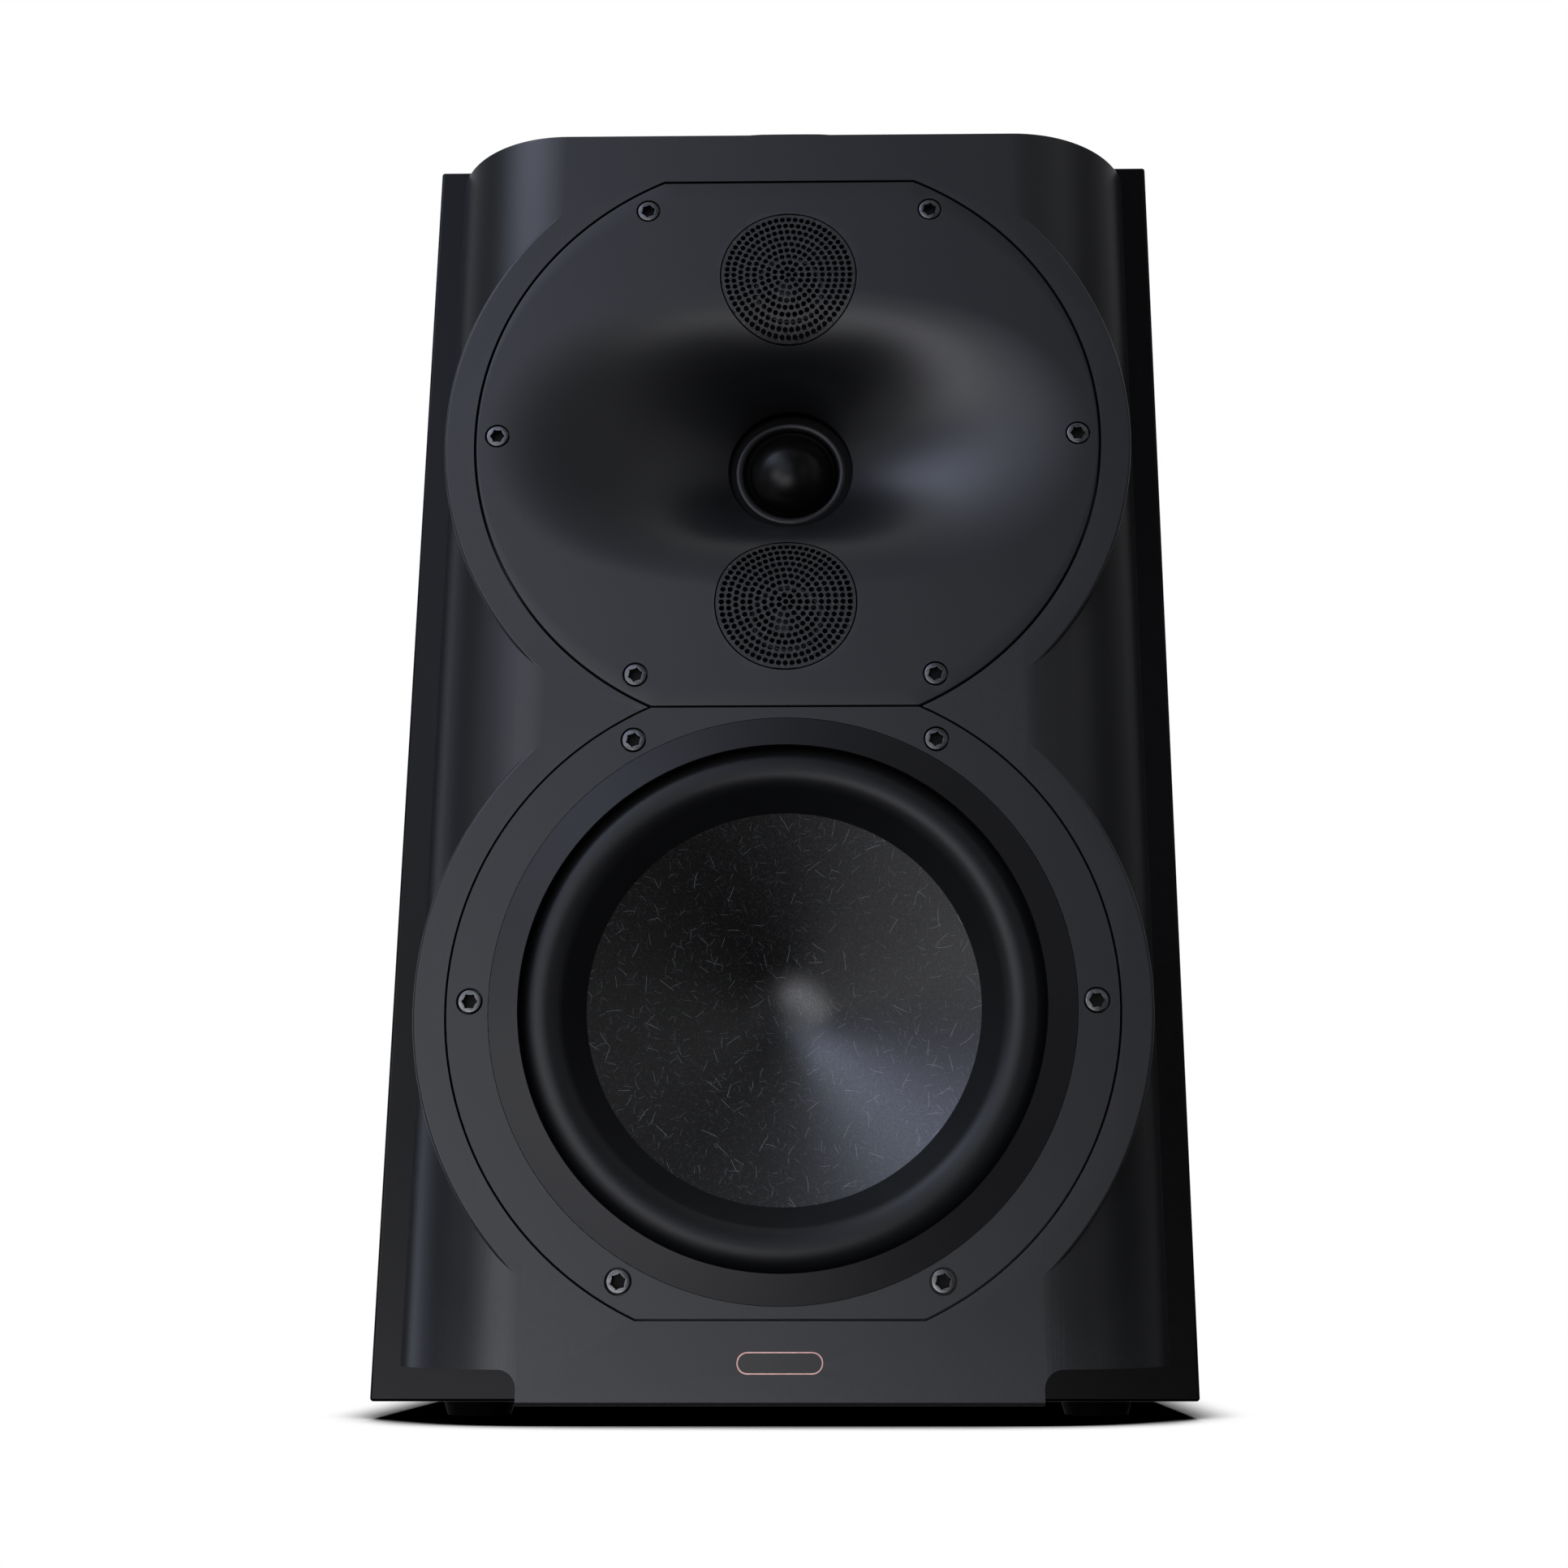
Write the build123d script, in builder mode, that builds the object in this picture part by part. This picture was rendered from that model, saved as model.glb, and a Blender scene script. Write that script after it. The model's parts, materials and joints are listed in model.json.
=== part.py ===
from build123d import *
from math import cos, hypot, pi, radians, sin, sqrt, tan
import os

# Sealed bookshelf loudspeaker with a horn-loaded dome tweeter, two small grille-covered
# tweeters and one long-throw woofer. Millimetres, +Z up, the drivers face -Y. The origin is
# on the floor, under the centre of the whole speaker's box.

os.makedirs("parts", exist_ok=True)

# ---- Driving dimensions: cabinet ------------------------------------------------------
cabinet_width = 240.0
cabinet_depth = 270.0
panel_thickness = 18.0
cabinet_edge_radius = 1.0
brace_thickness = 16.0
brace_rail = 30.0  # width of the rails around and between the brace's windows
brace_window_radius = 10.0
lining_thickness = 12.0
lining_margin = 18.0
foot_height = 5.0
foot_radius = 11.0
foot_taper = 1.5  # a foot's tip is this much smaller in radius than its root
foot_inset = 27.0

# ---- Driving dimensions: front baffle -------------------------------------------------
baffle_thickness = 27.4
baffle_side_gap = 8.44  # the cabinet shows this much beside the baffle
baffle_arc_radius = 41.4
baffle_top_gap = 4.3  # the cabinet shows this much above the baffle
baffle_bottom_gap = 0.3
baffle_edge_radius = 1.2
notch_width = 38.56  # cut away from the baffle's lower corners
notch_height = 9.9
notch_radius = 5.3
boss_rim_width = 10.0  # the raised boss is this much larger than the plate in it
boss_top_margin = 3.3  # from the upper boss to the cabinet's top
boss_bottom_margin = 4.7
badge_width = 24.0
badge_height = 6.0
badge_thickness = 1.0
badge_height_above_underside = 11.6
bolt_shank_radius = 3.0
bolt_head_radius = 5.4
bolt_head_height = 4.0
bolt_grip = 15.0  # length of bolt inside the baffle
bolt_side_inset = 14.0  # from the side panels' inner faces
bolt_end_inset = 26.0
bolt_middle_offset = 26.0

# ---- Driving dimensions: driver plates ------------------------------------------------
plate_radius = 97.5
plate_flat_cut = 8.75  # each plate is cut flat this far inside its round edge
plate_flat_gap = 0.5  # between the two plates' flat edges
plate_recess_gap = 0.5
plate_thickness = 6.0
gasket_thickness = 1.0
gasket_inset = 1.0
plate_seat_width = 15.5  # the plate rests on the baffle this far in from its edge
screw_edge_inset = 6.6  # from the plate's edge to the screws' circle
screw_count = 6
screw_head_radius = 3.55
screw_head_gap = 0.35
screw_head_height = 3.3
screw_shank_radius = 2.0
screw_length = 20.0  # below the head
screw_hole_clearance = 0.2
socket_lobe_circle = 1.3
socket_lobe_radius = 0.55
socket_depth = 2.2

# ---- Driving dimensions: waveguide, grilles and tweeters ------------------------------
bowl_side_margin = 11.5  # from the plate's edge to the bowl
bowl_half_height = 46.0
bowl_power = 2.3  # how sharply the bowl dives towards its throat
throat_radius = 18.5
throat_depth = 28.5
bowl_wall = 3.0
collar_radius = 31.0
collar_thickness = 5.0
throat_lip = 1.0
grille_radius = 21.5
grille_gap = 0.3
grille_thickness = 1.2
grille_seat_width = 1.5
grille_offset = 55.5  # from the main tweeter's axis
grille_depth = 2.5
grille_tilt = 6.6  # degrees towards the main tweeter's axis
grille_rings = 9
grille_ring_pitch = 2.19
grille_holes_per_ring = 6.7
grille_hole_radius = 0.64
small_boss_wall = 3.0
small_boss_depth = 8.0

# ---- Driving dimensions: dome tweeters ------------------------------------------------
main_dome_radius = 13.6  # inner radius of the coil's tube
small_dome_radius = 9.0
main_housing_radius = 29.0
small_housing_radius = 19.5
dome_apex_depth = 0.1
dome_rise = 4.6
dome_thickness = 0.4
dome_wall = 0.4
dome_roll_radius = 1.35
dome_roll_thickness = 0.3
dome_roll_depth = 2.4
dome_lip_width = 0.8
dome_lip_gap = 0.3
housing_thickness = 6.5
housing_slot_gap = 1.3  # between the coil's tube and the housing
cup_wall = 4.0
cup_depth = 20.0
cup_gap_height = 4.0
dome_coil_thickness = 0.4
dome_coil_height = 5.0
dome_coil_gap = 0.4
pole_thickness = 5.0
pole_start = 1.5  # the pole disc starts this far behind the dome's rim

# ---- Driving dimensions: woofer -------------------------------------------------------
trim_side_margin = 12.1  # from the plate's edge to the trim ring
trim_width = 8.7
trim_lip = 1.75  # the trim's inner edge stands this far in front of the baffle
trim_seat_gap = 0.15
surround_lip_depth = 3.5
surround_thickness = 1.0
surround_crest_inset = 8.7  # from the trim's inner edge to the roll's crest
surround_crest_depth = 0.5
surround_roll_radius = 8.5
surround_glue_width = 4.0
cone_rim_gap = 0.3
cone_slope = 0.195
cone_dish_radius = 14.0  # the cone is rounded inside this radius
cone_thickness = 1.0
cone_rim_thickness = 1.6
frame_trim_overlap = 0.7  # the frame's mouth is this much smaller than the trim's
frame_opening_gap = 2.0  # between the frame's shoulder and the baffle's opening
frame_bend_height = 2.0
frame_shoulder_depth = 12.0
frame_back_radius = 58.0
frame_back_depth = 58.0
frame_back_thickness = 4.0
frame_ring_height = 14.0
frame_window_width = 40.0
frame_window_length = 46.0
frame_window_inset = 8.0  # from the frame's mouth to the middle of a window
frame_window_count = 6
frame_window_start = 14.0
frame_window_end = 34.0
spider_depth = 38.0
spider_outer_radius = 49.0
spider_seat_width = 5.0
spider_rim_height = 2.0  # straight wall above the spider's seat
spider_thickness = 0.6
spider_wave_height = 1.5
spider_wave_count = 3
former_inner_radius = 19.2
former_thickness = 0.3
coil_thickness = 0.8
coil_height = 16.0
coil_gap = 0.5  # running gap between coil and motor, each side
glue_gap = 0.1
top_plate_inset = 8.0  # inside the frame's back
top_plate_thickness = 6.0
magnet_radius = 55.0
magnet_bore_radius = 26.0
magnet_thickness = 20.0
back_plate_thickness = 6.0
pole_front_overlap = 2.0
terminal_block_width = 20.0
terminal_block_thickness = 3.0
terminal_block_seat = 6.0
terminal_tab_width = 4.0
terminal_tab_length = 8.0
terminal_tab_thickness = 1.0
terminal_tab_spacing = 12.0
tinsel_radius = 0.5

# ---- Driving dimensions: crossover and wiring -----------------------------------------
board_width = 130.0
board_length = 88.0
board_thickness = 2.0
board_back_gap = 20.0
standoff_radius = 3.5
standoff_height = 6.0
standoff_inset = 7.0
inductor_outer_radius = 17.0
inductor_inner_radius = 7.0
inductor_height = 16.0
inductor_edge_gap = 3.0
capacitor_radius = 7.0
capacitor_length = 30.0
resistor_width = 9.0
resistor_length = 24.0
resistor_height = 8.0
lead_radius = 1.4
input_landing_inset = 8.0  # from the board's back edge to the input leads
driver_landing_offset = 3.0  # the drivers' leads land this far before its middle

# ---- Driving dimensions: rear terminals -----------------------------------------------
terminal_height = 150.0  # above the cabinet's underside
terminal_plate_width = 96.0
terminal_plate_height = 56.0
terminal_plate_thickness = 4.0
terminal_plate_radius = 6.0
terminal_screw_inset = 6.0
terminal_screw_head_radius = 3.0
terminal_screw_head_height = 1.8
terminal_screw_shank_radius = 1.6
terminal_screw_length = 12.0
terminal_screw_slot_radius = 1.1
post_spacing = 40.0
post_reach = 26.0  # from the terminal plate's face to the post's end
post_barrel_radius = 3.9
post_collar_radius = 7.0
post_collar_thickness = 2.5
post_stud_radius = 3.0
post_stud_length = 16.0
post_hole_clearance = 0.15
post_nut_radius = 5.8
post_nut_thickness = 4.0
panel_hole_radius = 12.0
banana_bore_radius = 2.0
banana_bore_depth = 20.0
cap_clearance = 0.08  # running fit of cap and washer on the post
cap_radius = 8.5
cap_length = 20.0
cap_groove_count = 14
cap_groove_radius = 0.8
cap_end_chamfer = 0.8
washer_radius = 7.5
washer_thickness = 1.2
axial_gap = 0.3  # between collar, washer and cap

# ---- Places worked out from the driving dimensions ------------------------------------
boss_radius = plate_radius + boss_rim_width
plate_flat = plate_radius - plate_flat_cut
driver_spacing = 2 * plate_flat + plate_flat_gap
driver_opening_radius = plate_radius - plate_seat_width
screw_circle_radius = plate_radius - screw_edge_inset
bowl_half_width = plate_radius - bowl_side_margin
trim_outer_radius = plate_radius - trim_side_margin
trim_inner_radius = trim_outer_radius - trim_width
surround_crest_radius = trim_inner_radius - surround_crest_inset
frame_inner_radius = trim_inner_radius - frame_trim_overlap
frame_shoulder_radius = driver_opening_radius - frame_opening_gap
top_plate_radius = frame_back_radius - top_plate_inset
cabinet_height = (
    boss_bottom_margin + 2 * boss_radius + driver_spacing + boss_top_margin
)
overall_depth = (
    trim_lip + baffle_thickness + cabinet_depth + terminal_plate_thickness + post_reach
)
front_y = trim_lip - overall_depth / 2  # the baffle's front plane
box_front_y = front_y + baffle_thickness
box_back_y = box_front_y + cabinet_depth
box_middle_y = (box_front_y + box_back_y) / 2
box_bottom_z = foot_height
box_top_z = foot_height + cabinet_height
box_middle_z = (box_bottom_z + box_top_z) / 2
inner_width = cabinet_width - 2 * panel_thickness
inner_height = cabinet_height - 2 * panel_thickness
inner_depth = cabinet_depth - 2 * panel_thickness
floor_z = box_bottom_z + panel_thickness
ceiling_z = box_top_z - panel_thickness
panel_inner_x = inner_width / 2
woofer_z = box_bottom_z + boss_bottom_margin + boss_radius
tweeter_z = woofer_z + driver_spacing
seat_depth = plate_thickness + gasket_thickness
front_panel_depth = baffle_thickness + panel_thickness
brace_z = (tweeter_z + woofer_z) / 2
brace_bottom_z = brace_z - brace_thickness / 2
brace_top_z = brace_z + brace_thickness / 2
baffle_bottom_z = box_bottom_z + baffle_bottom_gap
baffle_top_z = box_top_z - baffle_top_gap


# ---- Planes and shared shapes ---------------------------------------------------------
def facing(depth=0.0):
    """Plane parallel to the baffle, this far behind its front. Its x and y are the
    world's X and Z, and its normal points at the listener."""
    return Plane(origin=(0, front_y + depth, 0), x_dir=(1, 0, 0), z_dir=(0, -1, 0))


def driver_plane(z, depth=0.0):
    """The same plane, with its origin on a driver's axis."""
    return Plane(origin=(0, front_y + depth, z), x_dir=(1, 0, 0), z_dir=(0, -1, 0))


def section(face):
    """Section through an axis: x is the radius and y the depth behind the face."""
    return Plane(origin=face.origin, x_dir=face.x_dir, z_dir=face.y_dir)


def axis_of(face):
    return Axis(face.origin, face.z_dir)


def set_back(face, depth):
    """The plane this far behind another one."""
    return face.offset(-depth)


def plate_outline(gap=0.0, mode=Mode.ADD):
    """Round driver plate with a flat at its top and bottom, grown by a gap."""
    with BuildSketch(mode=Mode.PRIVATE) as outline:
        Circle(plate_radius + gap)
        Rectangle(2 * (plate_radius + gap), 2 * (plate_flat + gap), mode=Mode.INTERSECT)
    add(outline.sketch, mode=mode)


def fillet_radii(points):
    """Corner radii of a lead: as large as the two runs at each corner allow."""
    radii = []
    for before, corner, after in zip(points, points[1:], points[2:]):
        run_in = Vector(*corner) - Vector(*before)
        run_out = Vector(*after) - Vector(*corner)
        half_turn = radians(run_in.get_angle(run_out)) / 2
        radii.append(0.45 * min(run_in.length, run_out.length) / tan(half_turn))
    return radii


def build_lead(points, radius):
    """Round lead of straight runs joined by tangent arcs."""
    start = Vector(*points[0])
    with BuildPart() as piece:
        with BuildLine() as route:
            FilletPolyline(*points, radius=fillet_radii(points))
        with BuildSketch(Plane(origin=start, z_dir=Vector(*points[1]) - start)):
            Circle(radius)
        sweep(path=route.line)
    return piece


def join_solids(pieces):
    """One node of several separate solids."""
    with BuildPart() as group:
        for piece in pieces:
            add(piece.part)
    return group


def bowl_share(depth):
    """How far out the bowl's wall lies at a depth: 1 at its lip, 0 at its throat."""
    return 1 - (depth / throat_depth) ** (1 / bowl_power)


def bowl_ellipse(depth, growth=0.0):
    share = bowl_share(depth)
    Ellipse(
        throat_radius + share * (bowl_half_width - throat_radius) + growth,
        throat_radius + share * (bowl_half_height - throat_radius) + growth,
    )


# ---- Cabinet --------------------------------------------------------------------------
with BuildPart() as side_panel_left:
    with Locations((-(cabinet_width - panel_thickness) / 2, box_middle_y, box_middle_z)):
        Box(panel_thickness, cabinet_depth, cabinet_height)
    inner_face = side_panel_left.faces().sort_by(Axis.X)[-1]
    fillet(side_panel_left.edges() - inner_face.edges(), cabinet_edge_radius)
side_panel_left.part.label = "side_panel_left"
export_step(side_panel_left.part, "parts/side_panel_left.step")

with BuildPart() as side_panel_right:
    mirror(side_panel_left.part, about=Plane.YZ)
side_panel_right.part.label = "side_panel_right"
export_step(side_panel_right.part, "parts/side_panel_right.step")

with BuildPart() as top_panel:
    with Locations((0, box_middle_y, box_top_z - panel_thickness / 2)):
        Box(inner_width, cabinet_depth, panel_thickness)
    fillet(top_panel.edges().filter_by(Axis.X).group_by(Axis.Z)[-1], cabinet_edge_radius)
top_panel.part.label = "top_panel"
export_step(top_panel.part, "parts/top_panel.step")

with BuildPart() as bottom_panel:
    with Locations((0, box_middle_y, box_bottom_z + panel_thickness / 2)):
        Box(inner_width, cabinet_depth, panel_thickness)
    fillet(bottom_panel.edges().filter_by(Axis.X).group_by(Axis.Z)[0], cabinet_edge_radius)
bottom_panel.part.label = "bottom_panel"
export_step(bottom_panel.part, "parts/bottom_panel.step")

bolt_rows = (
    baffle_bottom_z + bolt_end_inset,
    brace_top_z + bolt_middle_offset,
    baffle_top_z - bolt_end_inset,
)
bolt_x = panel_inner_x - bolt_side_inset
bolt_places = [(side * bolt_x, z) for z in bolt_rows for side in (-1, 1)]

with BuildPart() as front_panel:
    with BuildSketch(facing(baffle_thickness)):
        with Locations((0, box_middle_z)):
            Rectangle(inner_width, inner_height)
        with Locations((0, tweeter_z), (0, woofer_z)):
            Circle(driver_opening_radius, mode=Mode.SUBTRACT)
        with Locations(*bolt_places):
            Circle(bolt_shank_radius + screw_hole_clearance, mode=Mode.SUBTRACT)
    extrude(amount=-panel_thickness)
front_panel.part.label = "front_panel"
export_step(front_panel.part, "parts/front_panel.step")

post_xs = (-post_spacing / 2, post_spacing / 2)
terminal_z = box_bottom_z + terminal_height
rear_face = Plane(origin=(0, box_back_y, 0), x_dir=(-1, 0, 0), z_dir=(0, 1, 0))
terminal_face = rear_face.offset(terminal_plate_thickness)
terminal_screw_places = [
    (
        x * (terminal_plate_width / 2 - terminal_screw_inset),
        terminal_z + z * (terminal_plate_height / 2 - terminal_screw_inset),
    )
    for x in (-1, 1)
    for z in (-1, 1)
]
terminal_screw_reach = (
    terminal_screw_head_height + terminal_screw_length - terminal_plate_thickness
)

with BuildPart() as rear_panel:
    with BuildSketch(rear_face):
        with Locations((0, box_middle_z)):
            Rectangle(inner_width, inner_height)
        with Locations(*[(x, terminal_z) for x in post_xs]):
            Circle(panel_hole_radius, mode=Mode.SUBTRACT)
    extrude(amount=-panel_thickness)
    with BuildSketch(rear_face):
        with Locations(*terminal_screw_places):
            Circle(terminal_screw_shank_radius + glue_gap)
    extrude(amount=-terminal_screw_reach - glue_gap, mode=Mode.SUBTRACT)
rear_panel.part.label = "rear_panel"
export_step(rear_panel.part, "parts/rear_panel.step")

brace_front_y = box_front_y + panel_thickness
window_width = (inner_width - 3 * brace_rail) / 2
window_length = (inner_depth - 3 * brace_rail) / 2

with BuildPart() as window_brace:
    with BuildSketch(Plane.XY.offset(brace_bottom_z)):
        with Locations((0, brace_front_y + inner_depth / 2)):
            Rectangle(inner_width, inner_depth)
            with GridLocations(window_width + brace_rail, window_length + brace_rail, 2, 2):
                RectangleRounded(
                    window_width, window_length, brace_window_radius, mode=Mode.SUBTRACT
                )
    extrude(amount=brace_thickness)
window_brace.part.label = "window_brace"
export_step(window_brace.part, "parts/window_brace.step")

lining_spans = ((floor_z, brace_bottom_z), (brace_top_z, ceiling_z))

with BuildPart() as damping_lining:
    for low_z, high_z in lining_spans:
        for side in (-1, 1):
            middle_x = side * (panel_inner_x - lining_thickness / 2)
            with Locations((middle_x, box_middle_y, (low_z + high_z) / 2)):
                Box(
                    lining_thickness,
                    inner_depth - 2 * lining_margin,
                    high_z - low_z - 2 * lining_margin,
                )
damping_lining.part.label = "damping_lining"
export_step(damping_lining.part, "parts/damping_lining.step")

foot_xs = cabinet_width / 2 - foot_inset
foot_ys = cabinet_depth / 2 - foot_inset

with BuildPart() as rubber_feet:
    with Locations((0, box_middle_y, foot_height / 2)):
        with GridLocations(2 * foot_xs, 2 * foot_ys, 2, 2):
            Cone(foot_radius - foot_taper, foot_radius, foot_height)
rubber_feet.part.label = "rubber_feet"
export_step(rubber_feet.part, "parts/rubber_feet.step")

# ---- Front baffle ---------------------------------------------------------------------
arc_centre_y = front_y + baffle_arc_radius
baffle_half_width = cabinet_width / 2 - baffle_side_gap
baffle_flat_half_width = baffle_half_width - sqrt(
    baffle_arc_radius**2 - (baffle_arc_radius - baffle_thickness) ** 2
)
notch_half_width = baffle_half_width - notch_width
half_arc = radians(30)

with BuildPart() as front_baffle:
    with BuildSketch(Plane.XY.offset(baffle_bottom_z)):
        with BuildLine():
            flat = Line((0, front_y), (baffle_flat_half_width, front_y))
            bend = ThreePointArc(
                flat @ 1,
                (
                    baffle_flat_half_width + baffle_arc_radius * sin(half_arc),
                    arc_centre_y - baffle_arc_radius * cos(half_arc),
                ),
                (baffle_half_width, box_front_y),
            )
            Polyline(bend @ 1, (0, box_front_y), flat @ 0)
        make_face()
        mirror(about=Plane.YZ)
    extrude(amount=baffle_top_z - baffle_bottom_z)
    bottom_edges = front_baffle.faces().sort_by(Axis.Z)[0].edges()
    back_edges = front_baffle.faces().sort_by(Axis.Y)[-1].edges()
    fillet(bottom_edges - back_edges, baffle_edge_radius)
    with BuildSketch(facing()):
        with Locations((0, tweeter_z), (0, woofer_z)):
            Circle(boss_radius)
        with Locations((0, (baffle_top_z + baffle_bottom_z) / 2)):
            Rectangle(
                2 * boss_radius, baffle_top_z - baffle_bottom_z, mode=Mode.INTERSECT
            )
    extrude(amount=-(baffle_thickness - baffle_edge_radius))
    with BuildSketch(facing()):
        for side in (-1, 1):
            with Locations((side * (notch_half_width + baffle_half_width) / 2, 0)):
                Rectangle(
                    baffle_half_width - notch_half_width,
                    2 * (box_bottom_z + notch_height),
                )
        inner_corners = vertices().group_by(Axis.Y)[-1].filter_by(
            lambda corner: abs(corner.X) < (notch_half_width + baffle_half_width) / 2
        )
        fillet(inner_corners, notch_radius)
    extrude(amount=-baffle_thickness, mode=Mode.SUBTRACT)
    for driver_z in (tweeter_z, woofer_z):
        with BuildSketch(driver_plane(driver_z)):
            plate_outline(plate_recess_gap)
        extrude(amount=-seat_depth, mode=Mode.SUBTRACT)
        with BuildSketch(driver_plane(driver_z, seat_depth)):
            Circle(driver_opening_radius)
        extrude(amount=seat_depth - baffle_thickness, mode=Mode.SUBTRACT)
        with BuildSketch(driver_plane(driver_z, seat_depth)):
            with PolarLocations(screw_circle_radius, screw_count):
                Circle(screw_shank_radius + glue_gap)
        extrude(
            amount=seat_depth - screw_head_height - screw_length - glue_gap,
            mode=Mode.SUBTRACT,
        )
    with BuildSketch(facing()):
        with Locations((0, box_bottom_z + badge_height_above_underside)):
            SlotOverall(badge_width, badge_height)
    extrude(amount=-badge_thickness, mode=Mode.SUBTRACT)
    with BuildSketch(facing(baffle_thickness)):
        with Locations(*bolt_places):
            Circle(bolt_shank_radius + glue_gap)
    extrude(amount=bolt_grip + glue_gap, mode=Mode.SUBTRACT)
front_baffle.part.label = "front_baffle"
export_step(front_baffle.part, "parts/front_baffle.step")

with BuildPart() as badge:
    with BuildSketch(facing()):
        with Locations((0, box_bottom_z + badge_height_above_underside)):
            SlotOverall(badge_width, badge_height)
    extrude(amount=-badge_thickness)
badge.part.label = "badge"
export_step(badge.part, "parts/badge.step")

with BuildPart() as baffle_bolts:
    with BuildSketch(facing(front_panel_depth)):
        with Locations(*bolt_places):
            RegularPolygon(bolt_head_radius, 6)
    extrude(amount=-bolt_head_height)
    with BuildSketch(facing(front_panel_depth)):
        with Locations(*bolt_places):
            Circle(bolt_shank_radius)
    extrude(amount=panel_thickness + bolt_grip)
baffle_bolts.part.label = "baffle_bolts"
export_step(baffle_bolts.part, "parts/baffle_bolts.step")


# ---- What both driver plates share ----------------------------------------------------
def cut_screw_seats():
    """Counterbored screw holes through a driver plate, around the current plane."""
    with PolarLocations(screw_circle_radius, screw_count):
        CounterBoreHole(
            radius=screw_shank_radius + screw_hole_clearance,
            counter_bore_radius=screw_head_radius + screw_head_gap,
            counter_bore_depth=screw_head_height,
            depth=plate_thickness + throat_depth,
        )


def build_plate_gasket(driver_z):
    with BuildPart() as gasket:
        with BuildSketch(driver_plane(driver_z, plate_thickness)):
            plate_outline()
            Circle(driver_opening_radius + gasket_inset, mode=Mode.SUBTRACT)
            with PolarLocations(screw_circle_radius, screw_count):
                Circle(screw_shank_radius + screw_hole_clearance, mode=Mode.SUBTRACT)
        extrude(amount=-gasket_thickness)
    return gasket


def build_plate_screws(driver_z):
    """Flush cylinder-head screws with a six-lobe socket."""
    with BuildPart() as screws:
        with BuildSketch(driver_plane(driver_z)):
            with PolarLocations(screw_circle_radius, screw_count):
                Circle(screw_head_radius)
        extrude(amount=-screw_head_height)
        with BuildSketch(driver_plane(driver_z, screw_head_height)):
            with PolarLocations(screw_circle_radius, screw_count):
                Circle(screw_shank_radius)
        extrude(amount=-screw_length)
        with BuildSketch(driver_plane(driver_z)):
            with PolarLocations(screw_circle_radius, screw_count):
                Circle(socket_lobe_circle)
                with PolarLocations(socket_lobe_circle, 6):
                    Circle(socket_lobe_radius)
        extrude(amount=-socket_depth, mode=Mode.SUBTRACT)
    return screws


waveguide_gasket = build_plate_gasket(tweeter_z)
waveguide_gasket.part.label = "waveguide_gasket"
export_step(waveguide_gasket.part, "parts/waveguide_gasket.step")

woofer_gasket = build_plate_gasket(woofer_z)
woofer_gasket.part.label = "woofer_gasket"
export_step(woofer_gasket.part, "parts/woofer_gasket.step")

waveguide_screws = build_plate_screws(tweeter_z)
waveguide_screws.part.label = "waveguide_screws"
export_step(waveguide_screws.part, "parts/waveguide_screws.step")

woofer_screws = build_plate_screws(woofer_z)
woofer_screws.part.label = "woofer_screws"
export_step(woofer_screws.part, "parts/woofer_screws.step")


# ---- Waveguide ------------------------------------------------------------------------
def grille_plane(side):
    """Plane of a small tweeter's grille, above (1) or below (-1) the main tweeter. Both
    grilles look a little towards the main axis."""
    tilt = radians(grille_tilt)
    return Plane(
        origin=(0, front_y + grille_depth, tweeter_z + side * grille_offset),
        x_dir=(1, 0, 0),
        z_dir=(0, -cos(tilt), -side * sin(tilt)),
    )


bowl_depths = [throat_depth * share for share in (0, 0.03, 0.1, 0.22, 0.4, 0.65, 1)]
collar_depth = throat_depth + throat_lip
small_boss_radius = grille_radius + grille_gap + small_boss_wall

with BuildPart() as waveguide_plate:
    with BuildSketch(driver_plane(tweeter_z)):
        plate_outline()
    extrude(amount=-plate_thickness)
    for depth in bowl_depths[1:]:
        with BuildSketch(driver_plane(tweeter_z, depth + bowl_wall / 3)):
            bowl_ellipse(depth, bowl_wall)
    loft()
    with BuildSketch(driver_plane(tweeter_z, collar_depth)):
        Circle(collar_radius)
    extrude(amount=collar_thickness)
    for side in (-1, 1):
        with BuildSketch(set_back(grille_plane(side), grille_thickness)):
            Circle(small_boss_radius)
        extrude(amount=grille_thickness - small_boss_depth)
    for depth in bowl_depths:
        with BuildSketch(driver_plane(tweeter_z, depth)):
            bowl_ellipse(depth)
    loft(mode=Mode.SUBTRACT)
    with BuildSketch(driver_plane(tweeter_z, collar_depth)):
        Circle(throat_radius)
    extrude(amount=2 * throat_lip, mode=Mode.SUBTRACT)
    for side in (-1, 1):
        with BuildSketch(grille_plane(side)):
            Circle(grille_radius + grille_gap)
        extrude(amount=grille_thickness, both=True, mode=Mode.SUBTRACT)
        with BuildSketch(grille_plane(side)):
            Circle(grille_radius + grille_gap)
        extrude(amount=small_boss_depth, mode=Mode.SUBTRACT)
        with BuildSketch(grille_plane(side)):
            Circle(grille_radius - grille_seat_width)
        extrude(amount=-small_boss_depth - throat_lip, mode=Mode.SUBTRACT)
    with Locations(driver_plane(tweeter_z)):
        cut_screw_seats()
waveguide_plate.part.label = "waveguide_plate"
export_step(waveguide_plate.part, "parts/waveguide_plate.step")


def build_grille(side):
    """Perforated disc: one hole in the middle, then rings of evenly spaced holes."""
    with BuildPart() as grille:
        with BuildSketch(grille_plane(side)):
            Circle(grille_radius)
            Circle(grille_hole_radius, mode=Mode.SUBTRACT)
            for ring in range(1, grille_rings + 1):
                holes = round(grille_holes_per_ring * ring)
                with PolarLocations(grille_ring_pitch * ring, holes):
                    Circle(grille_hole_radius, mode=Mode.SUBTRACT)
        extrude(amount=-grille_thickness)
    return grille


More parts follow.
